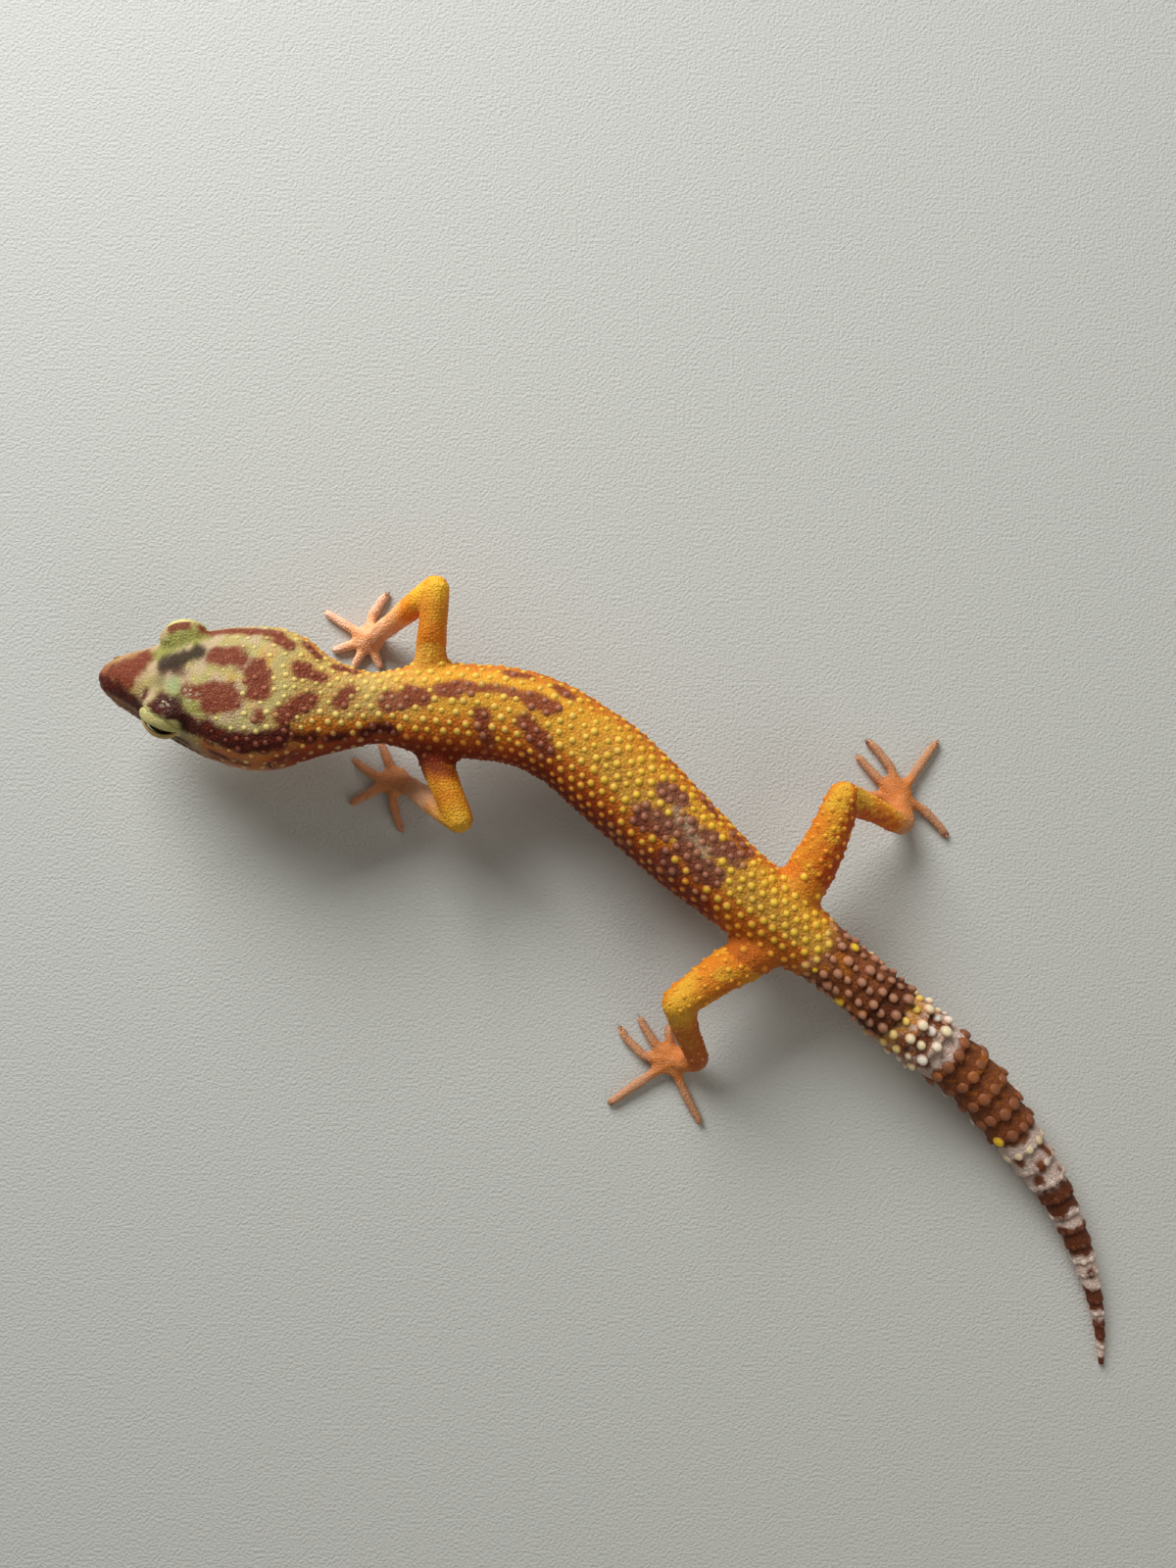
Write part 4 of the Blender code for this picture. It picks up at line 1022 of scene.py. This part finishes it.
taken = [grow("tubercles_trunk", rows_on_body(), DOME, 10, 0.58, 0.12, "back_skin"),
         grow("tubercles_tail", rows_on_tail(), CONE, 10, 0.85, 0.4, "tail_skin")]


def scatter(count, seed):
    """Random points over the skin, with normals and the label of the flesh under them."""
    draw = np.random.default_rng(seed)
    q, v = skin.quads, skin.verts
    tri = np.concatenate([q[:, [0, 1, 2]], q[:, [0, 2, 3]]])
    area = np.linalg.norm(np.cross(v[tri[:, 1]] - v[tri[:, 0]], v[tri[:, 2]] - v[tri[:, 0]]), axis=1)
    pick = np.searchsorted(np.cumsum(area) / area.sum(), draw.random(count))
    pick = tri[np.minimum(pick, len(tri) - 1)]
    a, b = draw.random(count), draw.random(count)
    over = a + b > 1
    a, b = np.where(over, 1 - a, a), np.where(over, 1 - b, b)
    w = np.stack([1 - a - b, a, b], 1)[:, :, None]
    return (v[pick] * w).sum(1), unit((skin_normals[pick] * w).sum(1)), skin_label[pick[:, 0]]


def spaced(points, gaps, blocked=()):
    """Indices of points kept so that none is nearer to another than its gap."""
    tree = kdtree.KDTree(len(points))
    for i, p in enumerate(points.tolist()):
        tree.insert(p, i)
    tree.balance()
    alive = np.ones(len(points), bool)
    for roots, radius in blocked:
        for p, reach in zip(roots.tolist(), radius.tolist()):
            for _, i, _ in tree.find_range(p, reach):
                alive[i] = False
    kept = []
    for i in range(len(points)):
        if alive[i]:
            kept.append(i)
            for _, j, _ in tree.find_range(points[i].tolist(), float(gaps[i])):
                alive[j] = False
    return np.array(kept)


def back_way(points, labels):
    """Direction towards the tail, or down the limb towards the hand or foot."""
    way = ALONG[row_at(anatomy(points)[0])]
    for limb, line in LIMB_AXES.items():
        own = on_parts(labels, LIMB_PARTS[limb])
        share, _ = limb_share(points, limb)
        k = np.clip(np.searchsorted(LIMB_SHARES, share) - 1, 0, 4)
        way = np.where(own[:, None], unit(line[k + 1] - line[k]), way)
    return way


def unwrap(points, labels):
    """Place of any root on a flat unwrap: body in the lower half, limbs in four boxes above it."""
    s, _, _, t = anatomy(points)
    uv = np.stack([0.01 + 0.98 * s / (TOTAL_LENGTH + 1), 0.25 + t / 760], 1)
    foot = on_parts(labels, FEET)
    for n, limb in enumerate(LIMB_AXES):
        own = on_parts(labels, LIMB_PARTS[limb])
        share, angle = limb_share(points, limb)
        x = 0.01 + 0.235 * share / 1.02 + 0.25 * n
        box = np.stack([x, 0.62 + angle / (2 * math.pi) * 0.2], 1)
        flat = (points[:, :2] - LIMB_AXES[limb][-1, :2]) / 24
        sole = np.stack([0.125 + 0.25 * n + flat[:, 0] * 0.24, 0.86 + flat[:, 1] * 0.24], 1)
        uv = np.where(own[:, None], np.where(foot[:, None], sole, box), uv)
    return uv


def grow_scattered(name, points, normals, labels, radius, tall, lean, profile, sides, slot, own_colour,
                   finish=BUMP_FINISH):
    """Scales at scattered points, dressed; own_colour is how far their tips leave the ground colour."""
    low, high = paint(points, labels)
    high = blend(low, high, own_colour) * rng.uniform(0.93, 1.07, (len(high), 1))
    piece = domes(name, points, normals, back_way(points, labels), np.stack([radius, radius * 1.1]), tall,
                  lean, profile, sides, low, high, unwrap(points, labels))
    dress(piece, finish, slot)


TUBERCLE_TRIES, GRANULE_TRIES = 26000, 230000

# Tubercles of the head's rear and of the hind legs.
spots, facing, tags = scatter(TUBERCLE_TRIES, 3)
s, _, _, t = anatomy(spots)
names = np.array(FLESH)[tags]
head_zone = (s > 12.5) & (s < 24.6) & (names == "head") & (np.abs(t) < 88)
clear_of_eyes = np.ones(len(spots), bool)
for eye in EYES:
    clear_of_eyes &= np.linalg.norm(in_eye(eye, spots), axis=1) > LID_REACH
on_shin = on_parts(tags, ["shin_left", "shin_right"])
on_leg = on_shin | on_parts(tags, ["thigh_left", "thigh_right"])
upward = facing[:, 2] > -0.35
use = (head_zone & clear_of_eyes) | (on_leg & upward)
gap = np.where(names == "head", 1.38 - 0.32 * ease(15, 22, s), np.where(on_shin, 1.0, 1.12))
index = np.nonzero(use)[0]
index = index[spaced(spots[index], gap[index], [(r0, rad + 0.6) for r0, rad in taken])]
spots, facing, tags, s, names, on_shin = (a[index] for a in (spots, facing, tags, s, names, on_shin))
radius = np.where(names == "head", 0.17 + 0.2 * ease(14, 21, s), np.where(on_shin, 0.22, 0.34))
radius = radius * rng.uniform(0.8, 1.15, len(spots))
limb_like = names != "head"
for name, own, height, slot in (("tubercles_head", ~limb_like, 0.5, "head_skin"),
                                ("tubercles_limbs", limb_like, 0.7, "limb_skin")):
    grow_scattered(name, spots[own], facing[own], tags[own], radius[own], height * radius[own], 0.3, DOME, 8,
                   slot, 1.0)
taken.append((spots, radius))

# Granules between them.
spots, facing, tags = scatter(GRANULE_TRIES, 4)
s, _, u, t = anatomy(spots)
foot, limb = on_parts(tags, FEET), on_parts(tags, ON_LIMBS)
body = ~limb
gap = np.where(body, 0.44 + 0.2 * ease(100, 125, np.abs(t)), 0.36)
gap = np.where(body & (s < 24), 0.37, gap)
gap = np.where(body & (s > 96), 0.46 - 0.16 * ease(130, 162, s), gap)
gap = np.where(foot, 0.32, gap)
use = ~(foot & (facing[:, 2] < -0.2)) & (spots[:, 2] > 0.12)
for eye in EYES:
    use &= np.linalg.norm(in_eye(eye, spots), axis=1) > SOCKET
use &= ~(body & (s < MOUTH_CORNER) & (np.abs(u - MOUTH_LEVEL) < 0.3) & (np.abs(t) > 60))
index = np.nonzero(use)[0]
index = index[spaced(spots[index], gap[index], [(r0, rad + 0.08) for r0, rad in taken])]
spots, facing, tags, s, t, gap, foot, limb = (
    a[index] for a in (spots, facing, tags, s, t, gap, foot, limb))
radius = gap * 0.52 * rng.uniform(0.9, 1.05, len(spots))
tall = radius * np.where(np.abs(t) > 115, 0.18, 0.2)
tall = np.where(limb, radius * 0.28, tall)
groups = [
    ("granules_head", ~limb & (s < 24), "head_skin"),
    ("granules_front", ~limb & (s >= 24) & (s < 60), "back_skin"),
    ("granules_rear", ~limb & (s >= 60) & (s < 97), "back_skin"),
    ("granules_tail", ~limb & (s >= 97), "tail_skin"),
    ("granules_limbs", limb & ~foot, "limb_skin"), ("granules_feet", foot, "foot_skin"),
]
for name, own, slot in groups:
    grow_scattered(name, spots[own], facing[own], tags[own], radius[own], tall[own], 0.25, GRAIN, 6, slot,
                   0.03, GRAIN_FINISH)

# ---- lids, eyes, lips, nostrils, claws
LID_FINISH = skin_material("gecko_lid", 0.5, 0.26, 0.05, 0.14)


def tube_mesh(centres, sides_way, ups_way, half_a, half_b, count, colours):
    """A closed tube through points, with two half thicknesses at each."""
    rings = len(centres)
    ring = np.arange(count) * 2 * math.pi / count
    verts = (centres[:, None] + sides_way[:, None] * np.cos(ring)[None, :, None] * half_a[:, None, None]
             + ups_way[:, None] * np.sin(ring)[None, :, None] * half_b[:, None, None]).reshape(-1, 3)
    verts = np.concatenate([verts, centres[:1], centres[-1:]])
    tris = []
    last = (rings - 1) * count
    for j in range(count):
        m = (j + 1) % count
        tris.append((m, j, rings * count))
        tris.append((last + j, last + m, rings * count + 1))
    shades = np.concatenate([np.repeat(colours, count, 0), colours[:1], colours[-1:]])
    return verts, np.array(ring_quads(rings, count)), np.array(tris), shades


def joined(name, parts):
    """One object from several (points, quads, triangles, colours)."""
    verts, quads, tris, shades = zip(*parts)
    starts = np.cumsum([0] + [len(v) for v in verts[:-1]])
    faces = [np.concatenate([f + start for f, start in zip(kind, starts)]) for kind in (quads, tris)]
    piece = mesh_object(name, np.concatenate(verts), faces, np.concatenate(shades))
    fix = bmesh.new()
    fix.from_mesh(piece.data)
    bmesh.ops.recalc_face_normals(fix, faces=fix.faces)
    fix.to_mesh(piece.data)
    fix.free()
    return piece


LID_ARC = 3.02


def lid(eye, upper):
    """One lid as a fleshy crescent on the eye's curve, thick in its middle, with a round free edge."""
    frame_of = np.array(EYES[eye])
    flip = 1 if eye == "right" else -1
    x = np.linspace(-1, 1, 41)
    arch = 1 - x * x
    if upper:
        across = 2.5 * x + 0.05
        free = -0.15 + 0.85 * arch
        tall = 0.14 + 1.6 * arch ** 0.6 * (1 - 0.3 * x)
        level = free + tall / 2
        thick = 0.06 + 0.26 * arch ** 0.4
    else:
        across = 2.25 * x + 0.1
        tall = 0.14 + 1.05 * arch ** 0.5
        level = -0.16 - 0.45 * arch - tall / 2
        thick = 0.06 + 0.2 * arch ** 0.4
    out = np.sqrt(LID_ARC ** 2 - across ** 2 - level ** 2)
    local = np.stack([across * flip, out, level], 1)
    tangent = unit(np.gradient(local, axis=0))
    outward = unit(local)
    rise = unit(np.cross(tangent, outward))
    turn_ = frame_of[:3, :3]
    centres = local @ turn_.T + frame_of[:3, 3]
    tint = ("green", 0.4 * ease(0.3, 1.0, np.abs(x))) if upper else ("snout", 0.55)
    shade = coat(np.tile(PALETTE["lid"], (len(x), 1)), tint)
    return tube_mesh(centres, rise @ turn_.T, outward @ turn_.T, tall / 2, thick, 16, shade)


for eye in EYES:
    dress(joined(f"lids_{eye}", [lid(eye, True), lid(eye, False)]), LID_FINISH, "head_skin")


# The iris is veined brown with a dark rim; the pupil is an upright slit with notches, narrowing to its ends.
EYE_FINISH = network(
    "gecko_eye",
    ("place", "Attribute", {"attribute_name": "Pupil"}),
    ("split", "SeparateXYZ", {"Vector": "place.Vector"}),
    ("stretch", *maths("MULTIPLY", "place.Vector", (1.0, 1.0, 0.6), kind="VectorMath")),
    ("veins", "TexNoise", {"Scale": 2.6, "Detail": 6.0, "Roughness": 0.7, "Vector": "stretch.Vector"}),
    ("iris", "ValToRGB", {"Fac": "veins.Fac", "stops": [
        (0.38, (0.035, 0.02, 0.012, 1)), (0.68, (0.42, 0.36, 0.22, 1)), (0.52, (0.20, 0.16, 0.09, 1))]}),
    ("bulge", *maths("MULTIPLY", "split.Z", 5.2)),
    ("wave", *maths("SINE", "bulge.Value")),
    ("notch", *maths("ABSOLUTE", "wave.Value")),
    ("half", *maths("MULTIPLY_ADD", "notch.Value", 0.12, 0.16)),
    ("aside", *maths("ABSOLUTE", "split.X")),
    ("above", *maths("ABSOLUTE", "split.Z")),
    ("square", *maths("POWER", "above.Value", 2.0)),
    ("taper", *maths("MULTIPLY_ADD", "square.Value", -0.62, 1.0)),
    ("edge", *maths("MULTIPLY", "half.Value", "taper.Value")),
    ("inside", *maths("SUBTRACT", "edge.Value", "aside.Value")),
    ("sharp", "MapRange", {"From Min": -0.02, "From Max": 0.03, "Value": "inside.Value"}),
    ("pupil", "Mix", {"data_type": "RGBA", 0: "sharp.Result", 6: "iris.Color", 7: (0.004, 0.003, 0.003, 1)}),
    ("flat", "CombineXYZ", {"X": "split.X", "Y": "split.Z"}),
    ("far", *maths("LENGTH", "flat.Vector", kind="VectorMath")),
    ("rim", "MapRange", {"From Min": 1.55, "From Max": 1.95, "To Min": 1.0, "To Max": 0.08,
                         "Value": "far.Value"}),
    ("tint", "VectorMath", {"operation": "SCALE", 0: "pupil.2", "Scale": "rim.Result"}),
    ("shader", "", {"Roughness": 0.08, "Coat Weight": 1.0, "Coat Roughness": 0.03,
                    "Base Color": "tint.Vector"}))
for eye, matrix in EYES.items():
    ball = bmesh.new()
    bmesh.ops.create_uvsphere(ball, u_segments=64, v_segments=40, radius=EYE_RADIUS - 0.02)
    sphere = bpy.data.meshes.new(f"eyeball_{eye}")
    ball.to_mesh(sphere)
    ball.free()
    local = np.zeros(len(sphere.vertices) * 3)
    sphere.vertices.foreach_get("co", local)
    local = local.reshape(-1, 3)
    # the cornea swells a little in front
    swell = 1 + 0.06 * np.clip(local[:, 1] / EYE_RADIUS, 0, 1) ** 3
    matrix = np.array(matrix)
    placed = (local * swell[:, None]) @ matrix[:3, :3].T + matrix[:3, 3]
    sphere.vertices.foreach_set("co", (placed * MM).ravel())
    layer = sphere.attributes.new("Pupil", "FLOAT_VECTOR", "POINT")
    layer.data.foreach_set("vector", local.astype(np.float32).ravel())
    sphere.polygons.foreach_set("use_smooth", np.ones(len(sphere.polygons), bool))
    dress(in_scene(f"eyeball_{eye}", sphere), EYE_FINISH, "eye", f"eye_{eye}")


def lip_scales():
    """Labial plates above and below the mouth, from one corner round the snout to the other."""
    centre = int(round(7.0 / STRIDE))
    found = []
    for level, tall_way, count_step in ((MOUTH_LEVEL + 0.48, 0.36, 0.92), (MOUTH_LEVEL - 0.46, 0.33, 1.0)):
        line = []
        for angle in np.radians(np.arange(-140, 140.5, 0.5)):
            aim = -ALONG[centre] * math.cos(angle) + RIGHT[centre] * math.sin(angle)
            start = AXIS[centre] + UP[centre] * level
            hit = skin_tree.ray_cast(Vector(start), Vector(aim))
            if hit[0] is not None and hit[3] < 14:
                line.append((*hit[0], *hit[1]))
        line = np.array(line)
        arc = np.concatenate(([0], np.cumsum(np.linalg.norm(np.diff(line[:, :3], axis=0), axis=1))))
        middle = arc[np.argmin(np.abs(arc - arc[-1] / 2))]
        reach = int(min(middle, arc[-1] - middle) // count_step)
        for j in range(-reach, reach + 1):
            at = middle + j * count_step
            point = [np.interp(at, arc, line[:, k]) for k in range(6)]
            ahead = [np.interp(at + 0.3, arc, line[:, k]) for k in range(3)]
            found.append((*point, *(np.array(ahead) - point[:3]), 0.5 * count_step, tall_way))
    return np.array(found)


plates = lip_scales()
roots, normals, ways = plates[:, :3], unit(plates[:, 3:6]), plates[:, 6:9]
tags = np.full(len(roots), FLESH.index("head"))
low = coat(paint(roots, tags)[0], ("lip", 0.35))
high = coat(low, ("shell", rng.uniform(0.05, 0.4, len(low))))
PLATE = [(1.0, 0.0), (0.94, 0.55), (0.78, 0.9), (0.4, 1.0)]
lips = domes("lip_plates", roots, normals, ways, np.stack([plates[:, 10], plates[:, 9]]),
             np.full(len(roots), 0.09), 0.0, PLATE, 14, low, high, unwrap(roots, tags))
dress(lips, BUMP_FINISH, "head_skin")


def nostrils():
    """Rim of each nostril, and its hollow painted nearly black as shade."""
    parts = []
    for turned in (-NOSTRIL_TURN, NOSTRIL_TURN):
        hit = body_hit(NOSTRIL_STATION, turned)
        centre, normal = np.array(hit[0]), unit(np.array(hit[1]))
        along = unit(np.cross(normal, [0, 0, 1.0]))
        above = np.cross(normal, along)
        angle = np.linspace(0, 2 * math.pi, 21)
        ring = centre + 0.34 * np.cos(angle)[:, None] * along + 0.24 * np.sin(angle)[:, None] * above
        ring = ring + normal * 0.02
        outward = unit(ring - centre)
        shade = np.tile(PALETTE["head_blotch" if turned < 0 else "snout"] * 0.8, (len(angle), 1))
        parts.append(tube_mesh(ring, outward, np.tile(normal, (len(angle), 1)), np.full(21, 0.1),
                               np.full(21, 0.09), 8, shade))
        # painted shade: a nearly black disc in the hollow
        hole = centre + normal * 0.03
        pit = np.concatenate([[hole], hole + 0.3 * np.cos(angle[:-1])[:, None] * along
                              + 0.2 * np.sin(angle[:-1])[:, None] * above - normal * 0.04])
        fan = np.array([(0, 1 + j, 1 + (j + 1) % 20) for j in range(20)])
        parts.append((pit, np.zeros((0, 4), int), fan, np.tile(PALETTE["dark"] * 0.3, (21, 1))))
    return parts


dress(joined("nostrils", nostrils()), LID_FINISH, "head_skin")


CLAW_FINISH = network(
    "gecko_claw",
    ("paint", "Attribute", {"attribute_name": "Colour"}),
    ("place", "TexCoord", {}),
    ("streak", "TexNoise", {"Scale": 4000.0, "Detail": 3.0, "Vector": "place.Object"}),
    ("amount", "MapRange", {"To Min": 0.75, "To Max": 1.25, "Value": "streak.Fac"}),
    ("tint", "VectorMath", {"operation": "SCALE", 0: "paint.Color", "Scale": "amount.Result"}),
    ("shader", "", {"Roughness": 0.28, "Specular IOR Level": 0.5, "Base Color": "tint.Vector"}))
claws = []
for foot, reach, shares, path in TOES:
    t = np.linspace(0, 1, 8)
    aim = unit(path[-1] - path[-4])
    aim[2] = 0
    sideways = np.array([-aim[1], aim[0], 0.0])
    line = path[-1] + aim * (t * 0.62 - 0.5)[:, None]
    line[:, 2] = 0.62 + 0.1 * np.sin(t * math.pi) - 0.42 * t ** 2
    thick = 0.13 * (1 - t ** 1.8) + 0.02
    rise = unit(np.cross(np.gradient(line, axis=0), sideways))
    shade = blend(np.tile(linear((196, 146, 116)), (8, 1)), linear((96, 62, 48)), ease(0.2, 0.8, t))
    claws.append(tube_mesh(line, np.tile(sideways, (8, 1)), -rise, thick * 0.8, thick, 8, shade))
dress(joined("claws", claws), CLAW_FINISH, "foot_skin")

# ---- floor, light and camera
floor_mesh = bpy.data.meshes.new("floor")
floor_mesh.from_pydata([(-1.2, -1.2, 0), (1.2, -1.2, 0), (1.2, 1.2, 0), (-1.2, 1.2, 0)], [], [(0, 1, 2, 3)])
floor = in_scene("floor", floor_mesh)
floor.data.materials.append(network(
    "floor",
    ("place", "TexCoord", {}),
    ("grain", "TexNoise", {"Scale": 2700.0, "Detail": 2.0, "Vector": "place.Object"}),
    ("relief", "Bump", {"Strength": 1.0, "Distance": 0.00016, "Height": "grain.Fac"}),
    ("shader", "", {"Base Color": (0.60, 0.61, 0.58, 1), "Roughness": 0.6, "Specular IOR Level": 0.3,
                    "Normal": "relief.Normal"})))


def area_light(name, place, target, size, power, colour):
    lamp = bpy.data.lights.new(name, "AREA")
    lamp.shape = "RECTANGLE"
    lamp.size, lamp.size_y = size
    lamp.energy = power
    lamp.color = colour
    item = in_scene(name, lamp)
    item.location = place
    item.rotation_euler = (Vector(target) - Vector(place)).to_track_quat("-Z", "Y").to_euler()


area_light("window", (-0.22, 0.46, 0.30), (0, 0.0, 0), (0.36, 0.26), 4.1, (0.985, 0.99, 0.975))
area_light("fill", (0.38, -0.30, 0.36), (0, 0, 0), (0.5, 0.5), 0.75, (1.0, 0.95, 0.86))
world = bpy.data.worlds.new("room")
world.use_nodes = True
world.node_tree.nodes["Background"].inputs["Color"].default_value = (1.0, 0.96, 0.88, 1)
world.node_tree.nodes["Background"].inputs["Strength"].default_value = 0.13
bpy.context.scene.world = world

camera_data = bpy.data.cameras.new("camera")
camera_data.lens = 26
camera_data.sensor_width = 34.667
camera_data.clip_start = 0.01
camera = in_scene("camera", camera_data)
camera.location = (-0.00375, 0.0246, 0.150)
bpy.context.scene.camera = camera
bpy.context.scene.view_settings.view_transform = "Standard"
